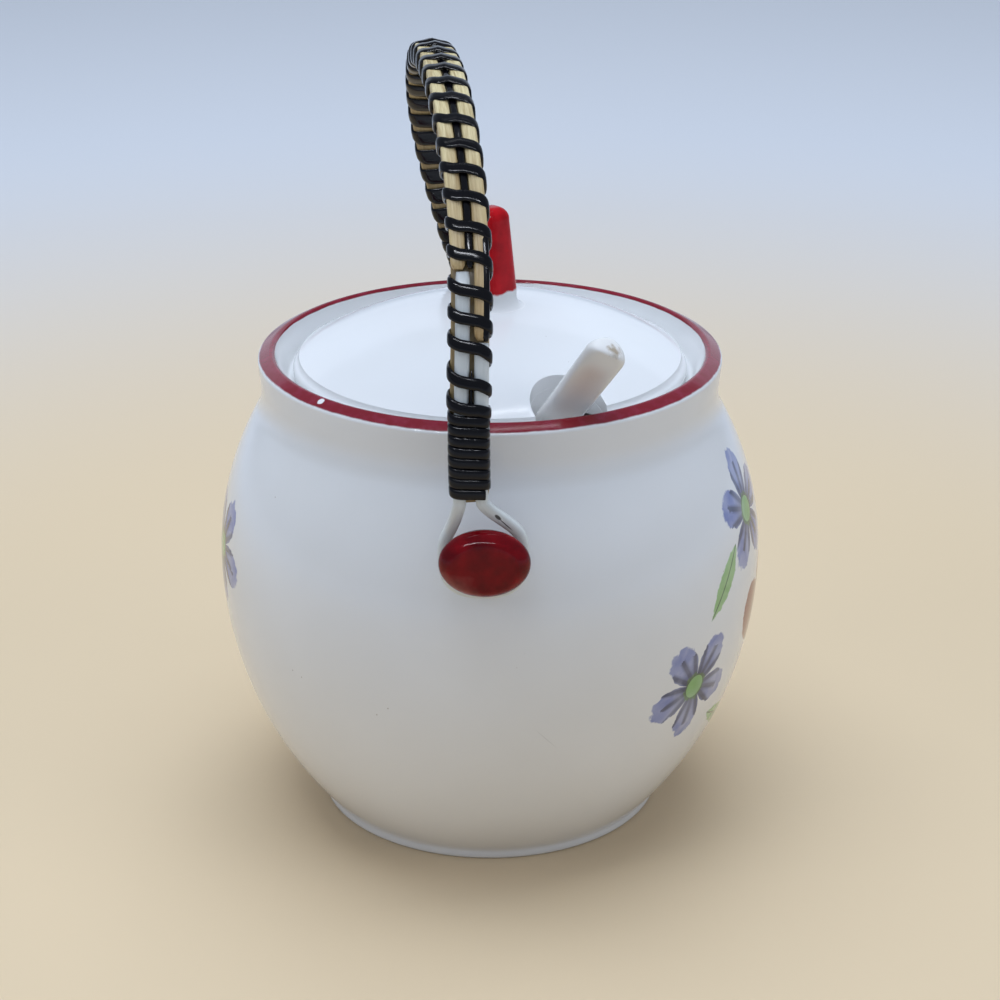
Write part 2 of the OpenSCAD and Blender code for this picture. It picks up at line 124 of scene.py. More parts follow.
def arc(centre: tuple[float, float], radius: float, first: float, last: float, count: int) -> Profile:
    """Points along an arc of a profile.

    Args:
        centre: Radius and height of the arc's centre, in millimetres.
        radius: Radius of the arc.
        first: Start angle in degrees, from the outward direction.
        last: End angle in degrees.
        count: Number of points.

    Returns:
        Radius and height of each point.
    """
    turns = [math.radians(first + (last - first) * i / (count - 1)) for i in range(count)]
    return [(centre[0] + radius * math.cos(a), centre[1] + radius * math.sin(a)) for a in turns]


def lathe(profile: Profile, steps: int) -> bmesh.types.BMesh:
    """Spins a profile round the upright axis.

    Args:
        profile: Radius and height of each point, in millimetres.
        steps: Number of steps in the full turn.

    Returns:
        A closed mesh, if the profile starts and ends on the axis.
    """
    bm = bmesh.new()
    verts = [bm.verts.new((r * MM, 0, z * MM)) for r, z in profile]
    edges = [bm.edges.new(pair) for pair in zip(verts, verts[1:])]
    bmesh.ops.spin(bm, geom=verts + edges, cent=(0, 0, 0), axis=(0, 0, 1), angle=math.tau, steps=steps, use_merge=True)
    bmesh.ops.remove_doubles(bm, verts=bm.verts[:], dist=1e-7)
    bmesh.ops.recalc_face_normals(bm, faces=bm.faces[:])
    return bm


def sweep(bm: bmesh.types.BMesh, rings: list[Ring], marks: list[list[tuple[float, float, float]]]) -> None:
    """Extrudes a closed ring through a row of rings and caps both ends.

    Args:
        bm: Mesh that gets the sweep.
        rings: Points of each ring in metres, all with as many points.
        marks: Side, depth and length in millimetres for each point, kept as attributes for the grain.
    """
    layers = [bm.verts.layers.float.get(n) or bm.verts.layers.float.new(n) for n in ("side", "depth", "along")]
    count = len(rings[0])
    row = [bm.verts.new(p) for p in rings[0]]
    rows = [row]
    edges = [bm.edges.new((row[i], row[(i + 1) % count])) for i in range(count)]
    for ring in rings[1:]:
        made = bmesh.ops.extrude_edge_only(bm, edges=edges)["geom"]
        fresh = {g for g in made if isinstance(g, bmesh.types.BMVert)}
        row = [next(e.other_vert(v) for e in v.link_edges if e.other_vert(v) in fresh) for v in row]
        for vert, point in zip(row, ring):
            vert.co = point
        edges = [bm.edges.get((row[i], row[(i + 1) % count])) for i in range(count)]
        rows.append(row)
    for row_marks, verts in zip(marks, rows):
        for mark, vert in zip(row_marks, verts):
            for layer, value in zip(layers, mark):
                vert[layer] = value
    made = [v for r in rows for v in r]
    caps = [bm.faces.new(rows[0]), bm.faces.new(rows[-1])]
    bmesh.ops.recalc_face_normals(bm, faces=list({f for v in made for f in v.link_faces} | set(caps)))


def link_mesh(name: str, bm: bmesh.types.BMesh) -> bpy.types.Object:
    """Turns a mesh into an object of the scene.

    Args:
        name: Name of the object and its mesh.
        bm: Finished mesh, freed here.

    Returns:
        The new object, at the origin.
    """
    mesh = bpy.data.meshes.new(name)
    bm.to_mesh(mesh)
    bm.free()
    made = bpy.data.objects.new(name, mesh)
    bpy.context.scene.collection.objects.link(made)
    return made


def place(name: str, bm: bmesh.types.BMesh, material: bpy.types.Material, body: Body,
          nodes: tuple[str, ...] = (), sharp: float = 50.0) -> None:
    """Turns a mesh into a piece that rides on a body.

    Args:
        name: Name of the piece.
        bm: Finished mesh, freed here.
        material: Its finish.
        body: Body that it rides on.
        nodes: CAD nodes that it stands for.
        sharp: Angle in degrees above which an edge stays sharp.
    """
    piece = link_mesh(name, bm)
    mesh = piece.data
    mesh.polygons.foreach_set("use_smooth", [True] * len(mesh.polygons))
    mesh.set_sharp_from_angle(angle=math.radians(sharp))
    mesh.materials.append(material)
    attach(piece, body.value)
    if nodes:
        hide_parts(*nodes)
    LOG.info("%s: %d faces on %s", name, len(mesh.polygons), body.value)


@dataclass(frozen=True)
class Blossom:
    """Painted flower: place on the belly, reach of its petals, turn and number of petals."""

    azimuth: float
    height: float
    reach: float
    turn: float
    petals: int = 5


@dataclass(frozen=True)
class Leaf:
    """Painted leaf: place on the belly, half length, half width and turn."""

    azimuth: float
    height: float
    length: float
    width: float
    turn: float


@dataclass(frozen=True)
class Finish:
    """A finish with its name."""

    name: str

    def start(self) -> tuple[bpy.types.Material, bpy.types.NodeTree]:
        """Makes an empty material.

        Returns:
            The material and its tree.
        """
        material = bpy.data.materials.new(self.name)
        material.use_nodes = True
        material.node_tree.nodes.clear()
        return material, material.node_tree

    def millimetres(self, tree: bpy.types.NodeTree) -> bpy.types.Node:
        """Adds the piece's own coordinates, in millimetres."""
        point = add(tree, "TexCoord").outputs["Object"]
        return add(tree, "VectorMath", (point, (1 / MM,) * 3), operation="MULTIPLY")

    def close(self, tree: bpy.types.NodeTree, sockets: dict) -> None:
        """Ends a material with one shader.

        Args:
            tree: The material's tree.
            sockets: Values and links for the shader.
        """
        shader = add(tree, "BsdfPrincipled", sockets)
        add(tree, "OutputMaterial", (shader,))


@dataclass(frozen=True)
class WhiteGlaze(Finish):
    """Fired white glaze on earthenware: glassy, with a faint ripple, cloudy tint and a few iron specks."""

    white: str = "#E9EAEB"
    cloud: str = "#DCDBD8"
    speck: str = "#8A7A68"
    roughness: float = 0.09
    index: float = 1.52
    ripple_mm: float = 16.0
    cloud_mm: float = 45.0
    speck_mm: float = 3.2
    rare_mm: float = 9.0

    def ground(self, tree: bpy.types.NodeTree) -> tuple[bpy.types.Node, bpy.types.Node]:
        """Adds the glaze's own colour and its ripple.

        Args:
            tree: The material's tree.

        Returns:
            The node with the colour and the bump node.
        """
        point = add(tree, "TexCoord").outputs["Object"]
        clouds = add(tree, "TexNoise", {"Vector": point, "Scale": 1 / (self.cloud_mm * MM), "Detail": 3.0})
        tint = add(tree, "Mix", {0: clouds, 6: linear(self.white), 7: linear(self.cloud)}, data_type="RGBA")
        grit = add(tree, "TexVoronoi", {"Vector": point, "Scale": 1 / (self.speck_mm * MM)})
        rare = add(tree, "TexNoise", {"Vector": point, "Scale": 1 / (self.rare_mm * MM), "Detail": 0.0})
        few = add(tree, "MapRange", (rare, 0.66, 0.7, 0.0, 0.045))
        dots = add(tree, "Math", (grit.outputs["Distance"], few), operation="LESS_THAN")
        faint = add(tree, "Math", (dots, 0.6), operation="MULTIPLY")
        colour = add(tree, "Mix", {0: faint, 6: tint.outputs[2], 7: linear(self.speck)}, data_type="RGBA")
        ripple = add(tree, "TexNoise", {"Vector": point, "Scale": 1 / (self.ripple_mm * MM), "Detail": 1.0})
        bump = add(tree, "Bump", {"Strength": 0.25, "Distance": 0.12 * MM, "Height": ripple})
        return colour, bump

    def build(self) -> bpy.types.Material:
        """Makes the plain glaze.

        Returns:
            The material.
        """
        material, tree = self.start()
        colour, bump = self.ground(tree)
        self.close(tree, {"Base Color": colour.outputs[2], "Roughness": self.roughness, "IOR": self.index,
                          "Normal": bump})
        return material


@dataclass(frozen=True)
class SpoonGlaze(WhiteGlaze):
    """The spoon's creamy glaze: painted shade with a warm painted reflection darkens the groove, and ochre clay shows
    through at the tip.
    """

    roughness: float = 0.16
    index: float = 1.5
    # Painted shade with a warm painted reflection, laid into the groove by its depth.
    groove_shade: str = "#DCD0C8"
    clay: str = "#8A7040"
    tip: tuple[float, float, float] = (23.2, -43.3, 112.9)
    tip_mm: float = 1.5

    def build(self) -> bpy.types.Material:
        """Makes the spoon's glaze.

        Returns:
            The material.
        """
        material, tree = self.start()
        ground, bump = self.ground(tree)
        low = add(tree, "Attribute", attribute_name="depth").outputs["Fac"]
        # Painted shade in the groove, deeper where the groove is deeper.
        groove_shaded = add(tree, "Mix", {0: low, 6: ground.outputs[2], 7: linear(self.groove_shade)}, data_type="RGBA")
        point = self.millimetres(tree)
        far = add(tree, "VectorMath", (point, self.tip), operation="DISTANCE").outputs[1]
        rough = add(tree, "TexNoise", {"Vector": point, "Scale": 1.1, "Detail": 4.0})
        ragged = add(tree, "Math", (rough, 4.0, far), operation="MULTIPLY_ADD")
        bare = add(tree, "MapRange", (ragged, self.tip_mm + 0.7, self.tip_mm + 2.3, 0.7, 0.0))
        colour = add(tree, "Mix", {0: bare, 6: groove_shaded.outputs[2], 7: linear(self.clay)}, data_type="RGBA")
        self.close(tree, {"Base Color": colour.outputs[2], "Roughness": self.roughness, "IOR": self.index,
                          "Normal": bump})
        return material


@dataclass(frozen=True)
class PaintedGlaze(WhiteGlaze):
    """The pot's white glaze with its red rim band and brushed flowers fired into it."""

    rim_red: str = "#7A1020"
    rim_pale: str = "#8E2C44"
    petal: str = "#7986BE"
    petal_deep: str = "#5A66A6"
    leaf: str = "#A6D08A"
    leaf_deep: str = "#6E9A58"
    rust: str = "#7C2C1D"
    rust_pale: str = "#8F3A28"
    pen: str = "#24232E"
    flat_mm: float = 54.0
    rag_mm: float = 3.2
    hair_mm: float = 1.818
    wash_mm: float = 6.25
    brush_mm: float = 4.545
    thin_mm: float = 2.0
    band_roughness: float = 0.13
    band_low: float = 97.62
    band_high: float = 98.3
    lip_inner: float = 43.5
    lip_outer: float = 47.0
    chip: tuple[float, float, float] = (-32.4, -32.0, 98.6)
    chip_mm: float = 0.62
    blossoms: tuple[Blossom, ...] = ()
    leaves: tuple[Leaf, ...] = ()
    fruits: tuple[Leaf, ...] = ()
    hairlines: tuple[Leaf, ...] = ()

    def spot(self, tree: bpy.types.NodeTree, flat: bpy.types.Node, mark: Blossom | Leaf) -> bpy.types.Node:
        """Moves the flat coordinates to a mark's centre and turns them with it.

        Args:
            tree: The material's tree.
            flat: Coordinates on the unrolled belly, in millimetres.
            mark: The painted mark.

        Returns:
            The node with the mark's own coordinates.
        """
        centre = (math.radians(mark.azimuth) * self.flat_mm, mark.height, 0.0)
        moved = add(tree, "VectorMath", (flat, centre), operation="SUBTRACT")
        return add(tree, "VectorRotate", {"Vector": moved, "Angle": math.radians(mark.turn)}, rotation_type="Z_AXIS")

    def flower(self, tree: bpy.types.NodeTree, flat: bpy.types.Node, rag: bpy.types.Node,
               mark: Blossom) -> tuple[bpy.types.Node, bpy.types.Node, bpy.types.Node]:
        """Adds one blossom.

        Args:
            tree: The material's tree.
            flat: Coordinates on the unrolled belly, in millimetres.
            rag: Unevenness of a brushed edge, in millimetres.
            mark: The blossom.

        Returns:
            Masks of its petals, its heart and its pen lines.
        """
        spot = self.spot(tree, flat, mark)
        split = add(tree, "SeparateXYZ", (spot,))
        far = add(tree, "VectorMath", (spot,), operation="LENGTH").outputs[1]
        angle = add(tree, "Math", (split.outputs[1], split.outputs[0]), operation="ARCTAN2")
        swing = add(tree, "Math", (angle, mark.petals / 2), operation="MULTIPLY")
        wave = add(tree, "Math", (add(tree, "Math", (swing,), operation="COSINE"),), operation="ABSOLUTE")
        lobe = add(tree, "Math", (wave, 0.55), operation="POWER")
        edge = add(tree, "Math", (lobe, 0.78 * mark.reach, 0.2 * mark.reach), operation="MULTIPLY_ADD")
        room = add(tree, "Math", (add(tree, "Math", (edge, rag), operation="ADD"), far), operation="SUBTRACT")
        petals = add(tree, "MapRange", (room, 0.0, 0.7), interpolation_type="SMOOTHSTEP")
        core = add(tree, "Math", (rag, 0.27 * mark.reach), operation="ADD")
        heart = add(tree, "MapRange", (add(tree, "Math", (core, far), operation="SUBTRACT"), 0.0, 0.4))
        fan = add(tree, "Math", (add(tree, "Math", (swing, 3.0), operation="MULTIPLY"),), operation="SINE")
        off = add(tree, "Math", (add(tree, "Math", (fan,), operation="ABSOLUTE"), far), operation="MULTIPLY")
        stroke = add(tree, "MapRange", (off, 0.5 * mark.petals, 1.3 * mark.petals, 1.0, 0.0))
        reach = add(tree, "Math", (rag, 2.2, 0.72 * mark.reach), operation="MULTIPLY_ADD")
        short = add(tree, "Math", (far, reach), operation="LESS_THAN")
        out = add(tree, "Math", (far, 0.2 * mark.reach), operation="GREATER_THAN")
        inked = add(tree, "Math", (add(tree, "Math", (short, out), operation="MULTIPLY"), stroke), operation="MULTIPLY")
        lines = add(tree, "Math", (inked, petals), operation="MULTIPLY")
        return petals, heart, lines

    def blade(self, tree: bpy.types.NodeTree, flat: bpy.types.Node, rag: bpy.types.Node | float,
              mark: Leaf) -> tuple[bpy.types.Node, bpy.types.Node]:
        """Adds one leaf or hairline.

        Args:
            tree: The material's tree.
            flat: Coordinates on the unrolled belly, in millimetres.
            rag: Unevenness of a brushed edge, in millimetres.
            mark: The leaf.

        Returns:
            Masks of its blade and of its midrib.
        """
        split = add(tree, "SeparateXYZ", (self.spot(tree, flat, mark),))
        share = add(tree, "Math", (split.outputs[0], 1 / mark.length), operation="MULTIPLY")
        square = add(tree, "Math", (share, share), operation="MULTIPLY")
        half = add(tree, "Math", (square, -mark.width, mark.width), operation="MULTIPLY_ADD")
        side = add(tree, "Math", (split.outputs[1],), operation="ABSOLUTE")
        room = add(tree, "Math", (half, side), operation="SUBTRACT")
        ragged = add(tree, "Math", (rag, 0.5, room), operation="MULTIPLY_ADD")
        blade = add(tree, "MapRange", (ragged, 0.0, 0.4), interpolation_type="SMOOTHSTEP")
        rib = add(tree, "MapRange", (side, 0.1, 0.26, 1.0, 0.0))
        return blade, add(tree, "Math", (rib, blade), operation="MULTIPLY")

    def berry(self, tree: bpy.types.NodeTree, flat: bpy.types.Node, rag: bpy.types.Node,
              mark: Leaf) -> bpy.types.Node:
        """Adds one oval fruit.

        Args:
            tree: The material's tree.
            flat: Coordinates on the unrolled belly, in millimetres.
            rag: Unevenness of a brushed edge, in millimetres.
            mark: The fruit.

        Returns:
            Its mask.
        """
        scale = (1 / mark.length, 1 / mark.width, 0.0)
        sized = add(tree, "VectorMath", (self.spot(tree, flat, mark), scale), operation="MULTIPLY")
        far = add(tree, "VectorMath", (sized,), operation="LENGTH").outputs[1]
        room = add(tree, "Math", (far, -mark.width, mark.width), operation="MULTIPLY_ADD")
        ragged = add(tree, "Math", (rag, 0.4, room), operation="MULTIPLY_ADD")
        return add(tree, "MapRange", (ragged, 0.0, 0.5), interpolation_type="SMOOTHSTEP")

    def flowers(self, tree: bpy.types.NodeTree, split: bpy.types.Node,
                colour: bpy.types.NodeSocket) -> bpy.types.NodeSocket:
        """Paints the flowers, leaves, fruits and hairlines over a colour.

        Args:
            tree: The material's tree.
            split: The piece's coordinates in millimetres, split.
            colour: Colour under the paint.

        Returns:
            The painted colour.
        """
        front = add(tree, "Math", (split.outputs[1], -1.0), operation="MULTIPLY")
        turn = add(tree, "Math", (split.outputs[0], front), operation="ARCTAN2")
        across = add(tree, "Math", (turn, self.flat_mm), operation="MULTIPLY")
        flat = add(tree, "CombineXYZ", (across, split.outputs[2]))
        noise = add(tree, "TexNoise", {"Vector": flat, "Scale": 1 / self.hair_mm, "Detail": 3.0})
        rag = add(tree, "Math", (noise, self.rag_mm, -self.rag_mm / 2), operation="MULTIPLY_ADD")
        masks: dict[str, list[bpy.types.Node]] = {"petal": [], "leaf": [], "rust": [], "pen": []}
        for mark in self.blossoms:
            petals, heart, lines = self.flower(tree, flat, rag, mark)
            masks["petal"].append(petals)
            masks["leaf"].append(heart)
            masks["pen"].append(lines)
        for mark in self.leaves:
            blade, rib = self.blade(tree, flat, rag, mark)
            masks["leaf"].append(blade)
            masks["pen"].append(rib)
        for mark in self.fruits:
            masks["rust"].append(self.berry(tree, flat, rag, mark))
        for mark in self.hairlines:
            masks["pen"].append(self.blade(tree, flat, 0.0, mark)[0])
        wash = add(tree, "TexNoise", {"Vector": flat, "Scale": 1 / self.wash_mm, "Detail": 4.0, "Distortion": 0.6})
        for part, pale, deep, low, high in (("rust", self.rust, self.rust_pale, 0.92, 1.0),
                                            ("petal", self.petal, self.petal_deep, 0.6, 0.95),
                                            ("leaf", self.leaf, self.leaf_deep, 0.75, 1.0),
                                            ("pen", self.pen, self.pen, 0.5, 0.8)):
            total = masks[part][0]
            for other in masks[part][1:]:
                total = add(tree, "Math", (total, other), operation="MAXIMUM")
            paint = add(tree, "Mix", {0: wash, 6: linear(pale), 7: linear(deep)}, data_type="RGBA")
            cover = add(tree, "MapRange", (wash, 0.3, 0.7, low, high))
            laid = add(tree, "Math", (cover, total), operation="MULTIPLY")
            colour = add(tree, "Mix", {0: laid, 6: colour, 7: paint.outputs[2]}, data_type="RGBA").outputs[2]
        return colour

    def build(self) -> bpy.types.Material:
        """Makes the painted glaze.

        Returns:
            The material.
        """
        material, tree = self.start()
        ground, bump = self.ground(tree)
        point = self.millimetres(tree)
        split = add(tree, "SeparateXYZ", (point,))
        colour = self.flowers(tree, split, ground.outputs[2])
        upright = add(tree, "VectorMath", (point, (1.0, 1.0, 0.0)), operation="MULTIPLY")
        radius = add(tree, "VectorMath", (upright,), operation="LENGTH").outputs[1]
        limit = add(tree, "MapRange", (radius, self.lip_inner, self.lip_outer, self.band_high, self.band_low))
        brush = add(tree, "TexNoise", {"Vector": point, "Scale": 1 / self.brush_mm, "Detail": 4.0})
        uneven = add(tree, "Math", (brush, 0.26, -0.13), operation="MULTIPLY_ADD")
        above = add(tree, "Math", (add(tree, "Math", (split.outputs[2], limit), operation="SUBTRACT"), uneven),
                    operation="ADD")
        painted = add(tree, "MapRange", (above, 0.0, 0.16))
        gap = add(tree, "VectorMath", (point, self.chip), operation="DISTANCE").outputs[1]
        torn = add(tree, "Math", (brush, -1.6, gap), operation="MULTIPLY_ADD")
        whole = add(tree, "MapRange", (torn, self.chip_mm - 0.8, self.chip_mm - 0.65))
        band = add(tree, "Math", (painted, whole), operation="MULTIPLY")
        thin = add(tree, "TexNoise", {"Vector": point, "Scale": 1 / self.thin_mm, "Detail": 5.0})
        thinness = add(tree, "MapRange", (thin, 0.45, 0.75, 0.0, 0.55))
        red = add(tree, "Mix", {0: thinness, 6: linear(self.rim_red), 7: linear(self.rim_pale)}, data_type="RGBA")
        colour = add(tree, "Mix", {0: band, 6: colour, 7: red.outputs[2]}, data_type="RGBA").outputs[2]
        rough = add(tree, "MapRange", (band, 0.0, 1.0, self.roughness, self.band_roughness))
        self.close(tree, {"Base Color": colour, "Roughness": rough, "IOR": self.index, "Normal": bump})
        return material


@dataclass(frozen=True)
class RedGlaze(Finish):
    """Deep red glaze, thin and mottled deeper and lighter at random."""

    red: str = "#82101A"
    deep: str = "#640810"
    pale: str = "#B98A88"
    white: str = "#E4E3E1"
    roughness: float = 0.07
    index: float = 1.28
    mottle_mm: float = 3.571
    edge_mm: float = 2.857
    ripple_mm: float = 7.143
    drip_mm: float = 2.6
    low_mm: float | None = None
    wear_and_sheen: tuple[float, float, float] | None = None
    wear_and_sheen_mm: float = 3.0

    def build(self) -> bpy.types.Material:
        """Makes the red glaze, white below a height and paler near a point, as wear with a painted reflection, if these
        are given.

        Returns:
            The material.
        """
        material, tree = self.start()
        point = self.millimetres(tree)
        clouds = add(tree, "TexNoise", {"Vector": point, "Scale": 1 / self.mottle_mm, "Detail": 5.0})
        mottle = add(tree, "MapRange", (clouds, 0.35, 0.68))
        mixed = add(tree, "Mix", {0: mottle, 6: linear(self.deep), 7: linear(self.red)}, data_type="RGBA")
        colour = mixed.outputs[2]
        edge = add(tree, "TexNoise", {"Vector": point, "Scale": 1 / self.edge_mm, "Detail": 2.0})
        # Paler near a point: partly rubbed wear, partly a painted reflection.
        if self.wear_and_sheen is not None:
            far = add(tree, "VectorMath", (point, self.wear_and_sheen), operation="DISTANCE").outputs[1]
            uneven = add(tree, "Math", (edge, 3.0, -1.5), operation="MULTIPLY_ADD")
            near = add(tree, "Math", (far, uneven), operation="ADD")
            rub_and_sheen = add(tree, "MapRange", (near, 0.4 * self.wear_and_sheen_mm, self.wear_and_sheen_mm, 0.6, 0.0))
            colour = add(tree, "Mix", {0: rub_and_sheen, 6: colour, 7: linear(self.pale)}, data_type="RGBA").outputs[2]
        if self.low_mm is not None:
            height = add(tree, "SeparateXYZ", (point,)).outputs[2]
            drip = add(tree, "Math", (clouds, self.drip_mm, -self.drip_mm / 2), operation="MULTIPLY_ADD")
            level = add(tree, "Math", (height, drip), operation="ADD")
            bare = add(tree, "MapRange", (level, self.low_mm, self.low_mm + 0.35, 1.0, 0.0))
            colour = add(tree, "Mix", {0: bare, 6: colour, 7: linear(self.white)}, data_type="RGBA").outputs[2]
        ripple = add(tree, "TexNoise", {"Vector": point, "Scale": 1 / self.ripple_mm, "Detail": 1.0})
        bump = add(tree, "Bump", {"Strength": 0.3, "Distance": 0.15 * MM, "Height": ripple})
        self.close(tree, {"Base Color": colour, "Roughness": self.roughness, "IOR": self.index, "Normal": bump})
        return material


@dataclass(frozen=True)
class Nick:
    """Dark nick in a strand: place across and up, half width, half length and tilt from upright."""

    at: tuple[float, float]
    half_w: float
    half_l: float
    tilt: float


@dataclass(frozen=True)
class Cane(Finish):
    """Split cane or strip: fibres run along it, so its colour and gloss streak along its length."""

    light: str = "#CDBB8E"
    dark: str = "#96794A"
    roughness: float = 0.45
    fibre_mm: float = 0.45
    streak: float = 0.06
    depth_mm: float = 0.12
    contrast: tuple[float, float] = (0.35, 0.75)
    index: float = 1.5
    band_mm: float = 2.0
    brown_tint: str | None = None
    brown_tint_run: tuple[float, float] = (35.0, 90.0)
    cut: str = "#1A1714"
    nicks: tuple[Nick, ...] = ()

    def build(self) -> bpy.types.Material:
        """Makes the strip's finish on its own side, depth and length.

        Returns:
            The material.
        """
        material, tree = self.start()
        marks = [add(tree, "Attribute", attribute_name=n).outputs["Fac"] for n in ("side", "depth", "along")]
        slow = add(tree, "Math", (marks[2], self.streak), operation="MULTIPLY")
        run = add(tree, "CombineXYZ", (marks[0], marks[1], slow))
        fibre = add(tree, "TexNoise", {"Vector": run, "Scale": 1 / self.fibre_mm, "Detail": 5.0, "Roughness": 0.65})
        band = add(tree, "TexNoise", {"Vector": run, "Scale": 1 / self.band_mm, "Detail": 2.0})
        both = add(tree, "Math", (fibre, 0.7, add(tree, "Math", (band, 0.3), operation="MULTIPLY")),
                   operation="MULTIPLY_ADD")
        share = add(tree, "MapRange", (both, *self.contrast))
        colour = add(tree, "Mix", {0: share, 6: linear(self.light), 7: linear(self.dark)}, data_type="RGBA").outputs[2]
        # Browner over a stretch of the length, fading out along it.
        if self.brown_tint is not None:
            brown_share = add(tree, "MapRange", (marks[2], *self.brown_tint_run, 0.65, 0.0))
            colour = add(tree, "Mix", {0: brown_share, 6: colour, 7: linear(self.brown_tint)}, data_type="RGBA").outputs[2]
        point = self.millimetres(tree)
        for nick in self.nicks:
            moved = add(tree, "VectorMath", (point, (nick.at[0], 0.0, nick.at[1])), operation="SUBTRACT")
            turned = add(tree, "VectorRotate", {"Vector": moved, "Angle": -math.radians(nick.tilt)},
                         rotation_type="Y_AXIS")
            sized = add(tree, "VectorMath", (turned, (1 / nick.half_w, 0.0, 1 / nick.half_l)), operation="MULTIPLY")
            far = add(tree, "VectorMath", (sized,), operation="LENGTH").outputs[1]
            mask = add(tree, "MapRange", (far, 0.75, 1.05, 0.9, 0.0))
            colour = add(tree, "Mix", {0: mask, 6: colour, 7: linear(self.cut)}, data_type="RGBA").outputs[2]
        gloss = add(tree, "MapRange", (fibre, 0.3, 0.7, self.roughness - 0.08, self.roughness + 0.1))
        bump = add(tree, "Bump", {"Strength": 0.6, "Distance": self.depth_mm * MM, "Height": fibre})
        self.close(tree, {"Base Color": colour, "Roughness": gloss, "IOR": self.index, "Normal": bump})
        return material


@dataclass
class Pot:
    """Thrown body and its two lugs. Sizes are in millimetres."""

    belly_r: float = 56.0
    belly_z: float = 55.0
    upper_arc: float = 62.158
    lower_arc: float = 79.626
    wall: float = 4.0
    rim_r: float = 47.0
    rim_z: float = 98.9
    lip_t: float = 3.5
    lip_round: float = 0.9
    lip_drop: float = 0.9
    neck_r: float = 46.2
    neck_z: float = 88.5
    lug_z: float = 77.5
    pad_y: float = 54.37
    stem_r: float = 2.9
    stem_l: float = 5.4
    head_a: float = 8.5
    head_b: float = 6.6
    head_x: float = -1.0
    head_z: float = 0.5
    stem_drop: float = 0.9
    collar_rise: float = 4.0
    foot_profile: Profile = field(default_factory=lambda: [
        (0, 1.2), (31.3, 1.2), (31.8, 1.0), (32.0, 0.5), (32.4, 0.08), (33.0, 0.0), (35.0, 0.0), (35.6, 0.12),
        (35.92, 0.5), (36.0, 1.0), (35.98, 1.5), (35.97, 1.9)])
    well_profile: Profile = field(default_factory=lambda: [
        (42.8, 96.5), (41.9, 94.9), (41.35, 93.85), (41.0, 93.5), (40.5, 93.3), (38.8, 93.3), (38.4, 93.2),
        (38.2, 92.9), (38.2, 89.8), (38.4, 89.45), (38.8, 89.25), (40.6, 88.85)])
    base_profile: Profile = field(default_factory=lambda: [(34.6, 7.4), (33.2, 6.5), (31, 6.1), (28, 6), (0, 6)])
    head_profile: Profile = field(default_factory=lambda: [
        (0.0, 0.0), (0.55, 0.0), (0.78, 0.12), (0.9, 0.5), (0.97, 1.1), (1.0, 1.75), (0.995, 2.3), (0.97, 2.85),
        (0.93, 3.35), (0.88, 3.76), (0.835, 4.08), (0.79, 4.34), (0.76, 4.47), (0.72, 4.57), (0.67, 4.63), (0.55, 4.69),
        (0.3, 4.76), (0.0, 4.8)])
    # Glazed earthenware: a glassy white that shows the lamps as soft streaks, with matter brushed colours.
    glaze: PaintedGlaze = PaintedGlaze(
        "painted_white_glaze",
        blossoms=(Blossom(48, 40, 12.5, 20), Blossom(72, 70, 13.0, 55), Blossom(92, 33, 13.0, 5),
                  Blossom(112, 66, 12.0, 40), Blossom(-78, 60, 13.0, 15), Blossom(-98, 33, 12.5, 50),
                  Blossom(-116, 69, 12.0, 0)),
        leaves=(Leaf(57, 60, 8.5, 2.6, -50), Leaf(66, 26, 8.0, 2.4, 25), Leaf(100, 80, 7.5, 2.4, -20),
                Leaf(-96, 76, 8.0, 2.5, 35), Leaf(-108, 48, 8.5, 2.5, -40), Leaf(-80, 24, 7.5, 2.3, -15)),
        fruits=(Leaf(74, 47, 7.5, 6.0, 60), Leaf(84, 52, 6.5, 5.0, 15), Leaf(118, 42, 7.0, 5.6, 70),
                Leaf(-92, 50, 7.0, 5.6, 110), Leaf(-120, 45, 6.5, 5.2, 60)),
        hairlines=(Leaf(11.5, 37, 4.6, 0.16, 48),))
    # Thick red glaze: dark and wet-looking, paler at the head's lower left, partly rubbed wear and partly a painted
    # reflection.
    lug_glaze: RedGlaze = RedGlaze("red_lug_glaze", red="#7C0610", deep="#58030A", pale="#A86A62",
                                   wear_and_sheen=(-7.2, -63.0, 70.6), wear_and_sheen_mm=6.6)

    def profile(self) -> Profile:
        """Draws the whole section, from the foot's hollow up, over the lip and down to the inner floor.

        Returns:
            Radius and height of each point.
        """
        low, high = (self.belly_r - self.lower_arc, self.belly_z), (self.belly_r - self.upper_arc, self.belly_z)
        inner_low, inner_high = self.lower_arc - self.wall, self.upper_arc - self.wall

        def rise(radius: float, z: float) -> float:
            """Angle on an arc of the belly at a height."""
            return math.degrees(math.asin((z - self.belly_z) / radius))

        belly = arc(low, self.lower_arc, rise(self.lower_arc, 2.5), 0, 56)
        belly += arc(high, self.upper_arc, 0, rise(self.upper_arc, 85.8), 40)[1:]
        mouth_r, lip_z = self.rim_r - self.lip_t, self.rim_z - self.lip_round
        slope = (self.rim_r - self.neck_r) / (lip_z - self.lip_drop - self.neck_z)
        start, corner, end = belly[-1], (self.neck_r, self.neck_z), (
            self.neck_r + self.collar_rise * slope, self.neck_z + self.collar_rise)
        hollow = []
        for i in range(1, 13):
            q = i / 12
            hollow.append(tuple((1 - q) ** 2 * a + 2 * q * (1 - q) * b + q * q * c
                                for a, b, c in zip(start, corner, end)))
        tilt = math.degrees(math.atan2(self.rim_r - mouth_r - 2 * self.lip_round, self.lip_drop))
        lip = arc((self.rim_r - self.lip_round, lip_z - self.lip_drop), self.lip_round, -5, tilt, 9)
        lip += arc((mouth_r + self.lip_round, lip_z), self.lip_round, tilt, 180, 12)
        inside = arc(high, inner_high, rise(inner_high, 88.3), 0, 32)
        inside += arc(low, inner_low, 0, rise(inner_low, 8.6), 48)[1:]
        return self.foot_profile + belly + hollow + lip + self.well_profile + inside + self.base_profile

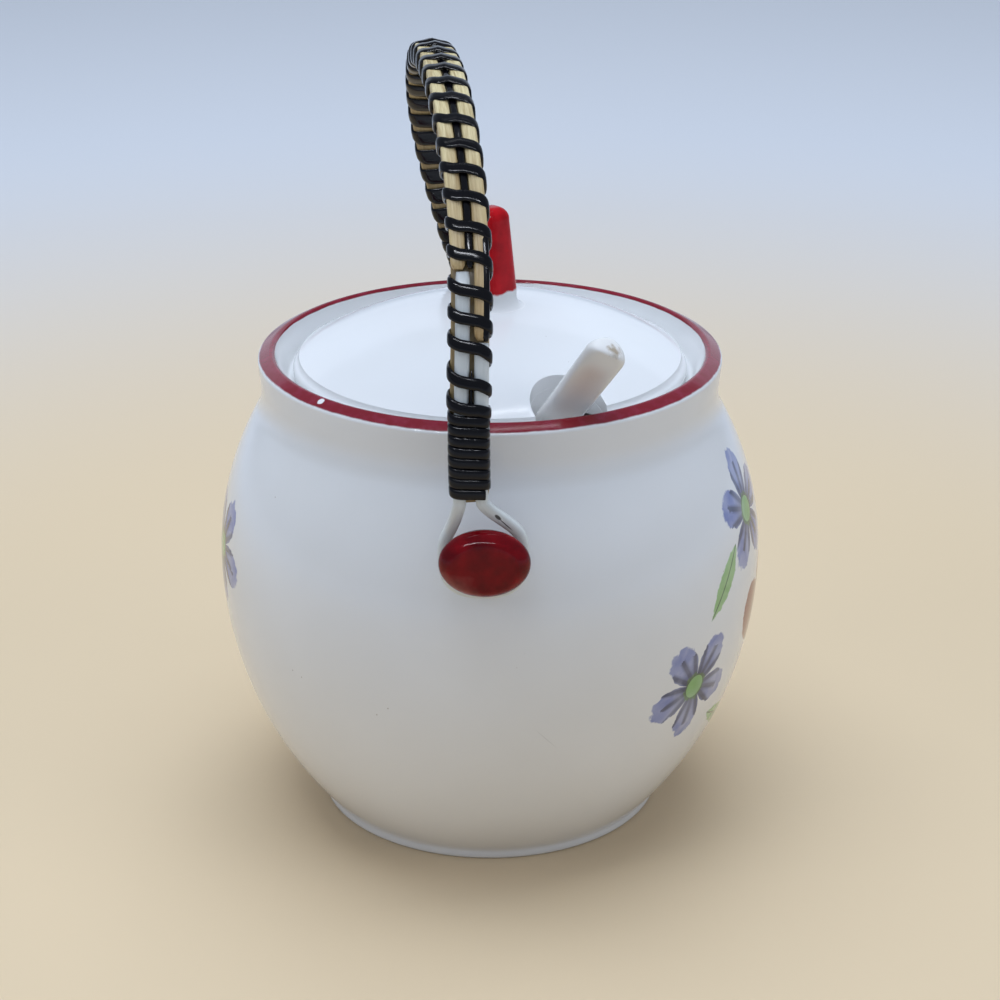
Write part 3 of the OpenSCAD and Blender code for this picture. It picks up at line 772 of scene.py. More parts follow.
    def lug(self, end: End) -> bmesh.types.BMesh:
        """Builds one lug: a round neck and an oval head with a flattened face.

        Args:
            end: Side of the pot.

        Returns:
            The lug's mesh, in place.
        """
        bm = lathe([(0, -1.5), (self.stem_r + 0.4, -1.5), (self.stem_r + 0.3, 0.2), (self.stem_r, 1.0),
                    (self.stem_r, self.stem_l + 1.0), (0, self.stem_l + 1.0)], 48)
        bmesh.ops.translate(bm, verts=bm.verts[:], vec=(0, -self.stem_drop * MM, 0))
        head = lathe([(f * 10, z) for f, z in self.head_profile], 72)
        head.transform(Matrix.Translation((self.head_x * MM, self.head_z * MM, self.stem_l * MM)) @ Matrix.Diagonal(
            (self.head_a / 10, self.head_b / 10, 1, 1)))
        spare = bpy.data.meshes.new("lug_head")
        head.to_mesh(spare)
        head.free()
        bm.from_mesh(spare)
        bpy.data.meshes.remove(spare)
        turn = Matrix.Rotation(0 if end is End.FRONT else math.pi, 4, "Z")
        bm.transform(turn @ Matrix.Translation((0, -self.pad_y * MM, self.lug_z * MM)) @ Matrix.Rotation(
            math.pi / 2, 4, "X"))
        return bm

    def build(self) -> None:
        """Builds the body and its lugs."""
        place("pot_shell", lathe(self.profile(), TURN_STEPS), self.glaze.build(), Body.POT, ("pot_body",))
        red = self.lug_glaze.build()
        for end in End:
            name = end.name.lower()
            place(f"lug_{name}_glazed", self.lug(end), red, Body.POT, (f"lug_{name}",))


@dataclass
class Lid:
    """Domed lid with its notch and knob. Sizes are in millimetres."""

    dome_ball: float = 77.85
    dome_mid: float = 30.0
    dome_t: float = 3.2
    crease_r: float = 38.7
    lid_r: float = 40.0
    seat_z: float = 93.35
    edge_r: float = 1.65
    ring_r: float = 37.7
    ring_inner: float = 35.3
    ring_h: float = 5.0
    notch_w: float = 15.0
    notch_depth: float = 10.5
    notch_az: float = 24.0
    wall_t: float = 1.5
    wall_low: float = 94.4
    knob_z: float = 107.53
    knob_h: float = 20.4
    knob_low: float = 4.35
    knob_high: float = 3.0
    knob_base: float = 6.7
    knob_flare: float = 3.0
    knob_round: float = 2.5
    knob_power: float = 0.6
    knob_turn: float = 42.0
    knob_x: float = 0.4
    # Glazed earthenware: plain white, with a faint ripple in its reflections.
    glaze: WhiteGlaze = WhiteGlaze("white_lid_glaze")
    # Bright red glaze that breaks to white where the knob meets the dome.
    knob_glaze: RedGlaze = RedGlaze("red_knob_glaze", red="#C2121C", deep="#A20C15", low_mm=110.9)

    def profile(self) -> Profile:
        """Draws the lid's section, from the dome's top round the edge to its underside.

        Returns:
            Radius and height of each point.
        """
        top = math.degrees(math.asin(self.crease_r / self.dome_ball))
        dome = [(0.0, self.dome_mid + self.dome_ball)]
        dome += arc((0, self.dome_mid), self.dome_ball, 88.5, 90 - top, 44)
        edge = [(self.crease_r + 0.05, 97.25), (self.crease_r + 0.12, 96.95)]
        edge += arc((self.lid_r - self.edge_r, self.seat_z + self.edge_r), self.edge_r, 62, -90, 18)
        low = self.seat_z - self.ring_h
        ring = [(self.ring_r + 0.1, self.seat_z), (self.ring_r, self.seat_z - 0.1), (self.ring_r, low + 0.6),
                (self.ring_r - 0.2, low + 0.15), (self.ring_r - 0.6, low), (self.ring_inner + 0.6, low),
                (self.ring_inner + 0.15, low + 0.2), (self.ring_inner, low + 0.6), (self.ring_inner, 94.8)]
        inner = self.dome_ball - self.dome_t
        under = math.degrees(math.asin((self.ring_inner - 0.6) / inner))
        roof = arc((0, self.dome_mid), inner, 90 - under, 88.5, 30) + [(0.0, self.dome_mid + inner)]
        return dome + edge + ring + roof

    def cutter(self, width: float, low: float, high: float) -> bpy.types.Object:
        """Makes an upright slot with a round inner end.

        Args:
            width: Width of the slot.
            low: Height of its lower end.
            high: Height of its upper end.

        Returns:
            A spare object for a cut.
        """
        bm = bmesh.new()
        bmesh.ops.create_circle(bm, cap_ends=True, segments=96, radius=width / 2 * MM)
        outer = [v for v in bm.verts if v.co.y < -1e-6]
        bmesh.ops.translate(bm, verts=outer, vec=(0, -20 * MM, 0))
        grown = bmesh.ops.extrude_face_region(bm, geom=bm.faces[:])["geom"]
        bmesh.ops.translate(bm, verts=[g for g in grown if isinstance(g, bmesh.types.BMVert)],
                            vec=(0, 0, (high - low) * MM))
        bmesh.ops.recalc_face_normals(bm, faces=bm.faces[:])
        inner = self.lid_r - self.notch_depth + width / 2
        bm.transform(Matrix.Rotation(math.radians(self.notch_az), 4, "Z") @ Matrix.Translation(
            (0, -inner * MM, low * MM)))
        return link_mesh("slot", bm)

    def shell(self) -> bmesh.types.BMesh:
        """Cuts the notch out of the turned lid.

        Returns:
            The lid's mesh.
        """
        blank = link_mesh("lid_blank", lathe(self.profile(), TURN_STEPS))
        low = self.seat_z - self.ring_h - 1
        slots = [self.cutter(self.notch_w, low, 112), self.cutter(self.notch_w + 4.8, low, self.seat_z)]
        for slot in slots:
            cut = blank.modifiers.new("notch", "BOOLEAN")
            cut.operation = "DIFFERENCE"
            cut.solver = "EXACT"
            cut.object = slot
        soft = blank.modifiers.new("soft", "BEVEL")
        soft.width = 0.45 * MM
        soft.segments = 3
        soft.limit_method = "ANGLE"
        soft.angle_limit = math.radians(55)
        bpy.context.view_layer.update()
        made = bpy.data.meshes.new_from_object(blank.evaluated_get(bpy.context.evaluated_depsgraph_get()))
        bm = bmesh.new()
        bm.from_mesh(made)
        bpy.data.meshes.remove(made)
        for spare in [blank, *slots]:
            bpy.data.objects.remove(spare)
        return bm

    def notch_wall(self) -> bmesh.types.BMesh:
        """Builds the deep wall round the notch, under the dome.

        Returns:
            The wall's mesh.
        """
        half, inner = self.notch_w / 2, self.dome_ball - self.dome_t
        mid = self.lid_r - self.notch_depth + half
        turn = Matrix.Rotation(math.radians(self.notch_az), 3, "Z")
        rings = []
        for i in range(49):
            angle = math.radians(-4 + 188 * i / 48)
            ring = []
            for far, top in ((half - 0.06, 0.9), (half + self.wall_t, 0.5)):
                x, y = far * math.cos(angle), far * math.sin(angle) - mid
                roof = self.dome_mid + math.sqrt(inner ** 2 - x * x - y * y) + top
                ring += [(x, y, self.wall_low), (x, y, roof)] if top > 0.6 else [(x, y, roof), (x, y, self.wall_low)]
            rings.append([turn @ Vector(p) * MM for p in ring])
        bm = bmesh.new()
        sweep(bm, rings, [[(0, 0, 0)] * 4 for _ in rings])
        return bm

    def knob_ring(self, i: int, flare: int, top: int, last: int) -> tuple[float, float, float]:
        """Half width, height and squareness of one of the knob's rings.

        Args:
            i: Index of the ring.
            flare: Index of the flare's last ring.
            top: Index of the first ring of the rounded top.
            last: Index of the last ring.

        Returns:
            Half width and height in millimetres, and the power of its outline.
        """
        if i <= flare:
            q = math.radians(90 * i / flare)
            half = self.knob_low + (self.knob_base - self.knob_low) * (1 - math.sin(q))
            return half, self.knob_flare * (1 - math.cos(q)), 1 + (self.knob_power - 1) * i / flare
        if i <= top:
            q = (i - flare) / (top - flare)
            half = self.knob_low + (self.knob_high - self.knob_low) * q
            return half, self.knob_flare + (self.knob_h - self.knob_flare - self.knob_round) * q, self.knob_power
        q = math.radians(90 * (i - top) / (last - top))
        half = self.knob_high - self.knob_round * (1 - math.cos(q * 0.97))
        return half, self.knob_h - self.knob_round * (1 - math.sin(q)), self.knob_power

    def knob(self) -> bmesh.types.BMesh:
        """Builds the four-sided knob.

        Returns:
            The knob's mesh.
        """
        flare, top, last, sides = 14, 30, 44, 64
        turned, foot = Matrix.Rotation(math.radians(self.knob_turn), 3, "Z"), Vector((self.knob_x, 0, self.knob_z)) * MM
        rings = []
        for i in range(last + 1):
            half, z, power = self.knob_ring(i, flare, top, last)
            turns = [math.tau * j / sides for j in range(sides)]
            flat = [Vector((half * spow(math.cos(t), power), half * spow(math.sin(t), power), z)) for t in turns]
            rings.append([turned @ p * MM + foot for p in flat])
        bm = bmesh.new()
        sweep(bm, rings, [[(0, 0, 0)] * sides for _ in rings])
        return bm

    def build(self) -> None:
        """Builds the lid and its knob."""
        white = self.glaze.build()
        place("lid_shell", self.shell(), white, Body.LID, ("lid",), 35)
        place("notch_wall", self.notch_wall(), white, Body.LID)
        place("lid_knob_glazed", self.knob(), self.knob_glaze.build(), Body.LID, ("lid_knob",))


@dataclass
class Spoon:
    """Grooved handle and oval bowl in one piece. Sizes are in millimetres."""

    length: float = 127.0
    reach: float = 102.0
    at: tuple[float, float, float] = (11.35, -32.58, 93.3)
    slope: float = 52.5
    heading: float = -43.7
    roll: float = -47.0
    handle_w: float = 8.0
    shank_w: float = 5.4
    handle_back: float = 3.0
    groove: float = 0.95
    bowl_w: float = 25.0
    bowl_l: float = 36.0
    bowl_back: float = 6.4
    bowl_dish: float = 3.9
    edge_rise: float = 1.6
    rim_share: float = 0.84
    end_round: float = 3.4
    groove_start: float = 2.4
    groove_end: float = 22.5
    groove_fade: float = 6.0
    # Creamy glaze, a little softer in its gloss than the pot's.
    glaze: SpoonGlaze = SpoonGlaze("cream_spoon_glaze", white="#E9E8E6", cloud="#DEDAD3", speck="#8A6A3E",
                                   speck_mm=2.4)

    def half(self, s: float) -> float:
        """Half width of the spoon.

        Args:
            s: Length from the bowl's tip.

        Returns:
            Half width, never quite nothing.
        """
        bowl = self.bowl_w / 2 * math.sqrt(max(1 - (2 * s / self.bowl_l - 1) ** 2, 0)) if s < self.bowl_l else 0.0
        if s < self.bowl_l / 2:
            return max(bowl, 0.25)
        q = min(max((s - self.bowl_l) / (self.length - self.bowl_l - self.end_round), 0), 1)
        end = 1.0
        if s > self.length - self.end_round:
            end = max(1 - ((s - self.length) / self.end_round + 1) ** 3, 0) ** (1 / 2.6)
        handle = (self.shank_w + (self.handle_w - self.shank_w) * q) / 2 * end
        return max((bowl ** 3 + handle ** 3) ** (1 / 3), 0.25)

    def ring(self, s: float, sides: int) -> tuple[Ring, list[tuple[float, float, float]]]:
        """Section of the spoon.

        Args:
            s: Length from the bowl's tip.
            sides: Number of points.

        Returns:
            The points, in metres and in place, and their marks: side, share of the groove and length.
        """
        wide = self.half(s)
        fade = min(max((s / self.bowl_l - 0.7) / 0.6, 0), 1)
        bowl = (1 + math.cos(math.pi * fade)) / 2
        slim = min(1.0, wide / (self.shank_w / 2))
        back = slim * (self.handle_back + (self.bowl_back - self.handle_back) * bowl)
        ends = [min(max(g / self.groove_fade, 0), 1) for g in (self.length - s - self.groove_start,
                                                               self.groove_end - self.length + s)]
        hollow = math.prod(e * e * (3 - 2 * e) for e in ends)
        dish = slim * (self.groove * hollow * (1 - bowl) + self.bowl_dish * bowl)
        turn = (Matrix.Rotation(math.radians(self.heading), 3, "Z") @ Matrix.Rotation(
            math.radians(90 - self.slope), 3, "Y") @ Matrix.Rotation(math.radians(self.roll), 3, "Z"))
        points, marks = [], []
        for j in range(sides):
            f = math.tau * j / sides
            u, c = math.sin(f), abs(math.cos(f))
            dip = max(1 - (c / self.rim_share) ** 2, 0) ** 1.1
            face = slim * self.edge_rise * math.sqrt(max(1 - c ** 5, 0)) - dish * dip
            local = Vector((face if u > 0 else back * u, wide * math.cos(f), s - self.reach))
            points.append((turn @ local + Vector(self.at)) * MM)
            marks.append((wide * math.cos(f), hollow * dip if u > 0 else 0.0, s))
        return points, marks

    def build(self) -> None:
        """Builds the spoon."""
        count, sides = 120, 64
        runs = [self.length * (1 - math.cos(math.pi * i / count)) / 2 for i in range(count + 1)]
        bm = bmesh.new()
        sections = [self.ring(s, sides) for s in runs]
        sweep(bm, [points for points, _ in sections], [marks for _, marks in sections])
        place("spoon_glazed", bm, self.glaze.build(), Body.SPOON, ("spoon",))


@dataclass
class Bail:
    """Hand-bent bail: layered cane, loops round the lugs and one strip wound over all. Sizes are in millimetres."""

    loop_y: float = 57.07
    half: float = 58.67
    rise: float = 78.7
    lean: float = 10.1
    hang: float = 2.1
    bow: float = 1.05
    twist: float = 6.5
    power: float = 0.806
    lug_z: float = 77.5
    cane_start: float = 12.5
    bundle_w: float = 7.0
    layer: float = 1.95
    spine_w: float = 1.35
    strand_w: float = 2.7
    loop_x: float = 1.2
    loop_r: float = 7.35
    loop_power: float = 0.75
    bend_from: float = 35.0
    strand_long: float = 53.5
    strand_short: float = 41.0
    wrap_w: float = 2.25
    wrap_t: float = 0.85
    bind_w: float = 1.98
    front_turns: tuple[float, ...] = (29.2, 33.9, 40.2, 45.0, 49.9, 56.1, 61.2, 66.9, 72.3, 77.7, 83.7, 90.2, 96.2,
                                      102.8, 109.2, 115.5)
    back_turns: tuple[float, ...] = (121.5, 127.5, 133.4, 139.5, 145.3, 151.2, 156.8, 162.5, 168.1, 173.6, 179.2,
                                     184.5, 189.8, 195.0, 199.7)
    bind_turns: tuple[float, ...] = (13.6, 15.55, 17.45, 19.4, 21.3, 23.25, 25.15, 27.1)
    table: list[tuple[float, Vector]] = field(default_factory=list)
    strand_sides: tuple[tuple[float, float], ...] = ((1.35, 2.0), (2.2, 2.1))
    wrap_end: float = 0.88
    wrap_gap: float = 0.24
    bind_pinch: float = 0.28
    wrap_lift: float = 0.42
    wrap_bump: float = 0.42
    # Split cane: dry, straw-coloured and streaked along its fibres, browner near the front lug.
    cane: Cane = Cane("split_cane", light="#D3C496", dark="#80622F", contrast=(0.4, 0.72), brown_tint="#B5894F")
    # The inner layer's rougher cane, painted darker than the outer strips as shade on the arch's inner side.
    under: Cane = Cane("inner_cane_painted_shade", light="#AD9566", dark="#775E38")
    # Pale skinned cane: smooth and greyish white, with a dark nick.
    pale: Cane = Cane("pale_cane_strand", light="#D6D9D7", dark="#C0C3BF", roughness=0.3, fibre_mm=0.9,
                      depth_mm=0.03, nicks=(Nick((1.45, 86.2), 0.36, 0.85, -42), Nick((2.9, 84.5), 0.11, 1.9, -42)))
    # Lacquered strip: near black, with narrow bright highlights.
    black: Cane = Cane("black_lacquered_strip", light="#0A080D", dark="#050406", roughness=0.12, fibre_mm=0.8,
                       depth_mm=0.03, index=1.35)

    def centre(self, t: float) -> Vector:
        """Point of the arch's centre line.

        Args:
            t: Angle in radians, from a quarter turn below zero at the front lug to one above it at the back.

        Returns:
            The point, in millimetres.
        """
        s = self.half * spow(math.sin(t), self.power)
        h = self.rise * max(math.cos(t), 0.0) ** self.power
        q = math.sin(math.pi / 2 * h / self.rise)
        hang = self.hang * math.exp(-(h / 22) ** 2) if s < 0 else 0.0
        bow = self.bow * (0.65 - 0.35 * math.tanh(s / 20)) * math.exp(-((h - 57) / 21) ** 2)
        skew = s * math.tan(math.radians(self.twist) * q * q)
        return Vector((bow - self.lean * q - hang - skew, s, self.lug_z + h))

    def measure(self) -> None:
        """Fills the table of lengths along the arch."""
        run, last = 0.0, self.centre(-math.pi / 2)
        for i in range(1801):
            point = self.centre(-math.pi / 2 + math.pi * i / 1800)
            run += (point - last).length
            self.table.append((run, point))
            last = point

    @property
    def length(self) -> float:
        """Length of the arch's centre line between the lugs' axis."""
        return self.table[-1][0]

    def point(self, run: float) -> Vector:
        """Point of the centre line at a length.

        Args:
            run: Length from the front lug's axis.

        Returns:
            The point, in millimetres.
        """
        run = min(max(run, 0.0), self.length)
        low, high = 0, len(self.table) - 1
        while high - low > 1:
            mid = (low + high) // 2
            low, high = (mid, high) if self.table[mid][0] <= run else (low, mid)
        a, b = self.table[low], self.table[high]
        return a[1].lerp(b[1], (run - a[0]) / max(b[0] - a[0], 1e-9))

    def axes(self, run: float) -> tuple[Vector, Vector, Vector, Vector]:
        """Place and directions on the arch.

        Args:
            run: Length from the front lug's axis.

        Returns:
            The point, and the directions along the arch, to its side and outwards.
        """
        along = (self.point(run + 1.1) - self.point(run - 1.1)).normalized()
        side = (Vector((1, 0, 0)) - along.x * along).normalized()
        return self.point(run), along, side, side.cross(along)

    def strip(self, bm: bmesh.types.BMesh, centre: tuple[float, float], half: tuple[float, float], first: float,
              last: float, count: int = 150, sides: int = 16, power: float = 0.5) -> None:
        """Sweeps a strip with rounded edges along the arch.

        Args:
            bm: Mesh that gets the strip.
            centre: Side and outward offset of the strip's middle.
            half: Half width and half thickness.
            first: Length at which it starts.
            last: Length at which it ends.
            count: Number of steps.
            sides: Number of points in its section.
            power: Roundness of its section, 1 for an oval.
        """
        rings, marks = [], []
        for i in range(count + 1):
            run = first + (last - first) * i / count
            point, _, side, out = self.axes(run)
            trim = min(1.0, math.sqrt(min(i, count - i) / 2 + 0.35))
            turns = [math.tau * j / sides for j in range(sides)]
            flat = [(centre[0] + trim * half[0] * spow(math.cos(a), power),
                     centre[1] + trim * half[1] * spow(math.sin(a), power)) for a in turns]
            rings.append([(point + x * side + n * out) * MM for x, n in flat])
            marks.append([(x, n, run) for x, n in flat])
        sweep(bm, rings, marks)

    def strand_route(self, end: End) -> list[tuple[Vector, Vector, float, float]]:
        """Route of a loop: down one leg, round the lug's neck and up the leg again.

        Args:
            end: End of the bail.

        Returns:
            Point, outward direction, half width and half thickness at each step.
        """
        sign = end.value
        out = Vector((0, sign, 0))
        inner, outer = self.strand_sides
        if end is End.BACK:
            inner, outer = outer, inner
        sides = {-1: (-inner[0], -inner[1]), 1: outer}

        def bend_at(turn: float) -> Vector:
            """Point of the bend round the neck at an angle in degrees."""
            x, z = (self.loop_r * spow(f(math.radians(turn)), self.loop_power) for f in (math.cos, math.sin))
            return Vector((sign * self.loop_x + x, sign * self.loop_y, self.lug_z + z))

        halves: dict[int, list[tuple[Vector, Vector, float, float]]] = {}
        for side, top in ((sign, self.strand_long), (-sign, self.strand_short)):
            steps = []
            for i in range(25):
                e = top + (self.cane_start - 1.0 - top) * i / 24
                run = e if end is End.FRONT else self.length - e
                point, _, across, outward = self.axes(run)
                thin = 0.35 if i == 0 else 1.0
                part = min(max((27 - e) / 14, 0), 1)
                offset = sides[side][0] * (1 - part) + sides[side][1] * part
                steps.append((point + offset * across + (self.layer / 2 + 0.15) * outward, outward,
                              self.strand_w / 2 * (0.85 if i == 0 else 1.0) * (1 - 0.14 * part), 0.95 * thin))
            start, lead = steps[-1][0], (steps[-1][0] - steps[-2][0]).normalized()
            turn = self.bend_from if side > 0 else 180 - self.bend_from
            finish = bend_at(turn)
            tail = (bend_at(turn - side) - finish).normalized()
            straight = (finish - start).normalized()
            lead, tail = (0.2 * lead + 0.8 * straight).normalized(), (0.4 * tail + 0.6 * straight).normalized()
            pull = (finish - start).length * 0.36
            knots = (start, start + pull * lead, finish - pull * tail, finish)
            for i in range(1, 17):
                q = i / 16
                point = ((1 - q) ** 3 * knots[0] + 3 * q * (1 - q) ** 2 * knots[1] + 3 * q * q * (1 - q) * knots[2]
                         + q ** 3 * knots[3])
                steps.append((point, steps[24][1].lerp(out, q).normalized(), self.strand_w / 2 * (0.92 - 0.05 * q),
                              0.95 + 0.3 * q))
            halves[side] = steps
        bend = []
        for i in range(1, 40):
            turn = self.bend_from - (180 + 2 * self.bend_from) * i / 40
            bend.append((bend_at(turn), out, self.strand_w / 2 * 0.87, 1.25))
        return halves[1] + bend + halves[-1][::-1]

    def loop(self, end: End) -> bmesh.types.BMesh:
        """Builds one loop of pale cane.

        Args:
            end: End of the bail.

        Returns:
            The loop's mesh.
        """
        route = self.strand_route(end)
        rings, marks, run, sides = [], [], 0.0, 20
        for i, (point, out, wide, thick) in enumerate(route):
            ahead = route[min(i + 1, len(route) - 1)][0] - route[max(i - 1, 0)][0]
            across = out.cross(ahead).normalized()
            lift = ahead.cross(across).normalized()
            run += (point - route[max(i - 1, 0)][0]).length
            turns = [math.tau * j / sides for j in range(sides)]
            flat = [(wide * spow(math.cos(a), 0.7), thick * spow(math.sin(a), 0.7)) for a in turns]
            rings.append([(point + x * across + n * lift) * MM for x, n in flat])
            marks.append([(x, n, run) for x, n in flat])
        bm = bmesh.new()
        sweep(bm, rings, marks)
        return bm

    def crossings(self) -> list[float]:
        """Lengths at which the turns of the wound strip cross the outer face, from lug to lug."""
        front = [2 * self.bind_turns[0] - self.bind_turns[1], *self.bind_turns]
        return [*front, *self.front_turns, *self.back_turns, *(self.length - r for r in reversed(front))]

    def wrap(self) -> bmesh.types.BMesh:
        """Builds the wound strip.

        Returns:
            The strip's mesh.
        """
        runs, steps = self.crossings(), 28
        tight, skip = len(self.bind_turns) + 1, round(self.wrap_end * steps)
        path = []
        for k in range(skip, (len(runs) - 1) * steps + 1 - skip):
            turn = min(k // steps, len(runs) - 2)
            share = k / steps - turn
            open_share = min(max(min(k / steps, len(runs) - 1 - k / steps) - tight + 1.0, 0.0), 1.0)
            slant = (0.05 + 0.33 * open_share) * math.sin(math.tau * share)
            run = runs[turn] + (runs[turn + 1] - runs[turn]) * share + slant
            angle = math.tau * share + math.pi / 2
            a = self.bundle_w / 2 + self.wrap_gap - self.bind_pinch * (1 - open_share)
            b = self.layer + self.wrap_lift
            x, n = a * spow(math.cos(angle), 0.52), b * spow(math.sin(angle), 0.52)
            if n > 0:
                n += self.wrap_bump * open_share * math.exp(-(x / 0.85) ** 2)
            up = Vector((spow(x / a, 2.8) / a, spow(n / b, 2.8) / b)).normalized()
            point, along, side, out = self.axes(run)
            far = min(max((run - self.length / 2) / 20, 0.0), 1.0)
            spread = 1 + (0.3 + 0.5 * far) * open_share * max(-math.sin(angle), 0.0)
            crown = 1 + 0.2 * math.exp(-((run - self.length / 2) / 22) ** 2)
            wide = (self.bind_w + (self.wrap_w - self.bind_w) * open_share) / 2 * spread * crown
            path.append((point + x * side + n * out, up.x * side + up.y * out, along, wide))
        rings, marks, length = [], [], 0.0
        for i, (point, up, along, wide) in enumerate(path):
            ahead = path[min(i + 1, len(path) - 1)][0] - path[max(i - 1, 0)][0]
            across = up.cross(ahead).normalized()
            if across.dot(along) < 0:
                across.negate()
            across = (across + along).normalized()
            length += (point - path[max(i - 1, 0)][0]).length
            rings.append([(point + w * wide * across + n * self.wrap_t / 2 * up) * MM for w, n in STRIP_SECTION])
            marks.append([(w * wide, n, length) for w, n in STRIP_SECTION])
        bm = bmesh.new()
        sweep(bm, rings, marks)
        return bm

    def build(self) -> None:
        """Builds the bail's pieces."""
        self.measure()
        end = self.length
        cane, under, pale, black = (f.build() for f in (self.cane, self.under, self.pale, self.black))
        mid, half_t = self.layer / 2 + 0.05, self.layer / 2
        inner = bmesh.new()
        self.strip(inner, (0, -mid), (self.bundle_w / 2, half_t), self.cane_start - 1.3, end - self.cane_start + 1.3,
                   200, 24, 0.4)
        # The inner layer's colour is painted darker, as shade under the outer strips.
        place("cane_inner_layer", inner, under, Body.BAIL, ("cane_inner",))
        wide = (self.bundle_w / 2 - self.spine_w / 2 - 0.05) / 2
        shift = self.bundle_w / 2 - wide
        for name, sign, first, last in (("left", -1, self.strand_long, self.strand_short),
                                        ("right", 1, self.strand_short, self.strand_long)):
            bm = bmesh.new()
            self.strip(bm, (sign * shift, mid + 0.1), (wide, half_t + 0.12), first + 0.4, end - last - 0.4, 180, 20,
                       0.42)
            place(f"cane_{name}_strip", bm, cane, Body.BAIL, (f"cane_{name}",))
        spine = bmesh.new()
        self.strip(spine, (0, mid + 0.1), (self.spine_w / 2, half_t + 0.16), self.strand_long + 0.6, end - 54, 170, 12)
        # A strip at the right edge and two short ends above the tight turns.
        for (x, lift), (wide, more), first, last, count, sides in (((2.85, 0.16), (0.68, 0.12), 41.2, 60.5, 24, 12),
                                                                   ((0.4, 0.35), (0.2, 0.0), 27.0, 36.0, 10, 10),
                                                                   ((0.3, 0.42), (0.8, 0.0), 27.0, 30.4, 10, 10)):
            self.strip(spine, (x, mid + lift), (wide, half_t + more), first, last, count, sides)
        place("spine_dark_strip", spine, black, Body.BAIL, ("spine_strip",))
        for which in End:
            name = which.name.lower()
            place(f"loop_{name}_strand", self.loop(which), pale, Body.BAIL, (f"loop_{name}",))
        place("wrap_strip", self.wrap(), black, Body.BAIL, ("wrap",))


@dataclass(frozen=True)
class Lamp:
    """Soft area lamp: place, aim, size in metres, power and colour."""

    name: str
    at: tuple[float, float, float]
    aim: tuple[float, float, float]
    size: tuple[float, float]
    watts: float
    colour: str = "#FFFFFF"
    shine: bool = True
    fill: bool = True


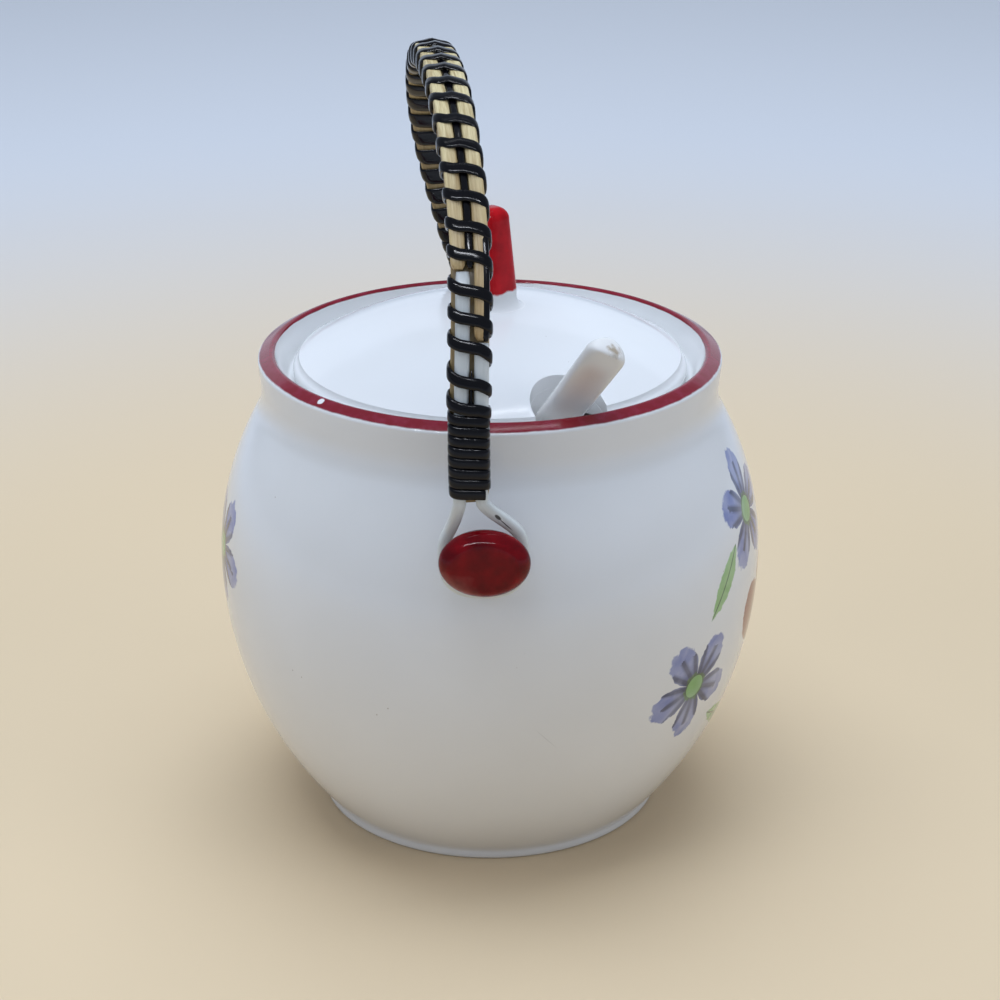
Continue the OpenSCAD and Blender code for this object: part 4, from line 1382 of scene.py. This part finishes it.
@dataclass
class Studio:
    """Pale floor, soft light and the camera. Lengths are in metres."""

    floor_near: str = "#DCC5A2"
    floor_mid: str = "#D8DADE"
    floor_far_painted_light: str = "#F0F2F6"
    floor_r: float = 4.0
    warm: tuple[float, float] = (0.16, 0.6)
    far_painted_light: tuple[float, float] = (0.45, 1.5)
    sky: str = "#C2D0E4"
    sky_strength: float = 0.5
    eye: tuple[float, float, float] = (0.0, -0.4699, 0.2608)
    pitch: float = 22.64
    lens: float = 88.0
    shift: float = 0.01
    lamps: tuple[Lamp, ...] = (
        Lamp("top_panel", (-0.05, 0.1, 0.95), (0.0, 0.0, 0.05), (0.9, 0.8), 9.0, "#E2EEFF", shine=False),
        Lamp("ceiling_strip", (-0.1, 0.3, 1.9), (0.0, 0.0, 0.1), (1.6, 0.03), 1.4, "#F4F8FF"),
        Lamp("front_strip", (-0.12, -0.62, 0.72), (0.0, 0.0, 0.06), (0.8, 0.022), 4.5, "#F2F6FF", fill=False),
        Lamp("back_wall", (0.0, 2.2, 0.75), (0.0, 0.0, 0.3), (3.6, 1.5), 9.0, "#DCE6F6", fill=False),
        Lamp("left_fill", (-0.8, -0.4, 0.55), (0.0, 0.0, 0.05), (0.5, 0.5), 1.5, "#EAF1FF", shine=False),
        Lamp("right_fill", (0.8, -0.35, 0.5), (0.0, 0.0, 0.05), (0.5, 0.5), 1.5, "#EAF1FF", shine=False))

    def floor(self) -> None:
        """Lays a wide pale floor, a little warm near the pot; far from it, painted light makes it paler and bluer."""
        bm = bmesh.new()
        bmesh.ops.create_circle(bm, cap_ends=True, segments=64, radius=self.floor_r)
        floor = link_mesh("floor", bm)
        material = bpy.data.materials.new("pale_floor")
        material.use_nodes = True
        tree = material.node_tree
        tree.nodes.clear()
        far = add(tree, "VectorMath", (add(tree, "TexCoord").outputs["Object"],), operation="LENGTH").outputs[1]
        share = add(tree, "MapRange", (far, *self.warm), interpolation_type="SMOOTHSTEP")
        inner = add(tree, "Mix", {0: share, 6: linear(self.floor_near), 7: linear(self.floor_mid)}, data_type="RGBA")
        # Painted light: far from the pot the floor turns paler and bluer, where the lamps give less light.
        fade = add(tree, "MapRange", (far, *self.far_painted_light))
        colour = add(tree, "Mix", {0: fade, 6: inner.outputs[2], 7: linear(self.floor_far_painted_light)}, data_type="RGBA")
        shader = add(tree, "BsdfPrincipled", {"Base Color": colour.outputs[2], "Roughness": 0.75})
        add(tree, "OutputMaterial", (shader,))
        floor.data.materials.append(material)

    def light(self) -> None:
        """Sets the sky and the lamps."""
        world = bpy.data.worlds.new("soft_sky")
        bpy.context.scene.world = world
        world.use_nodes = True
        tree = world.node_tree
        tree.nodes.clear()
        sky = add(tree, "Background", {"Color": linear(self.sky), "Strength": self.sky_strength})
        add(tree, "OutputWorld", (sky,))
        for lamp in self.lamps:
            data = bpy.data.lights.new(lamp.name, "AREA")
            data.shape = "RECTANGLE"
            data.size, data.size_y = lamp.size
            data.energy = lamp.watts
            data.color = linear(lamp.colour)[:3]
            made = bpy.data.objects.new(lamp.name, data)
            bpy.context.scene.collection.objects.link(made)
            made.visible_glossy, made.visible_diffuse = lamp.shine, lamp.fill
            made.location = lamp.at
            made.rotation_euler = (Vector(lamp.aim) - Vector(lamp.at)).to_track_quat("-Z", "Y").to_euler()

    def camera(self) -> None:
        """Sets the camera at the photograph's angle."""
        data = bpy.data.cameras.new("camera")
        data.sensor_width = 36.0
        data.lens = self.lens
        data.shift_x = self.shift
        data.clip_start, data.clip_end = 0.01, 20.0
        made = bpy.data.objects.new("camera", data)
        bpy.context.scene.collection.objects.link(made)
        made.location = self.eye
        made.rotation_euler = (math.radians(90 - self.pitch), 0, 0)
        bpy.context.scene.camera = made

    def build(self) -> None:
        """Builds the studio."""
        bpy.context.scene.view_settings.view_transform = "Standard"
        self.floor()
        self.light()
        self.camera()


def main() -> None:
    """Builds the studio and every sub-assembly in order."""
    logging.basicConfig(level=logging.INFO, format="%(name)s: %(message)s")
    Studio().build()
    for assembly in (Pot(), Lid(), Spoon(), Bail()):
        assembly.build()
        LOG.info("built %s", type(assembly).__name__)


if __name__ == "__main__":
    main()
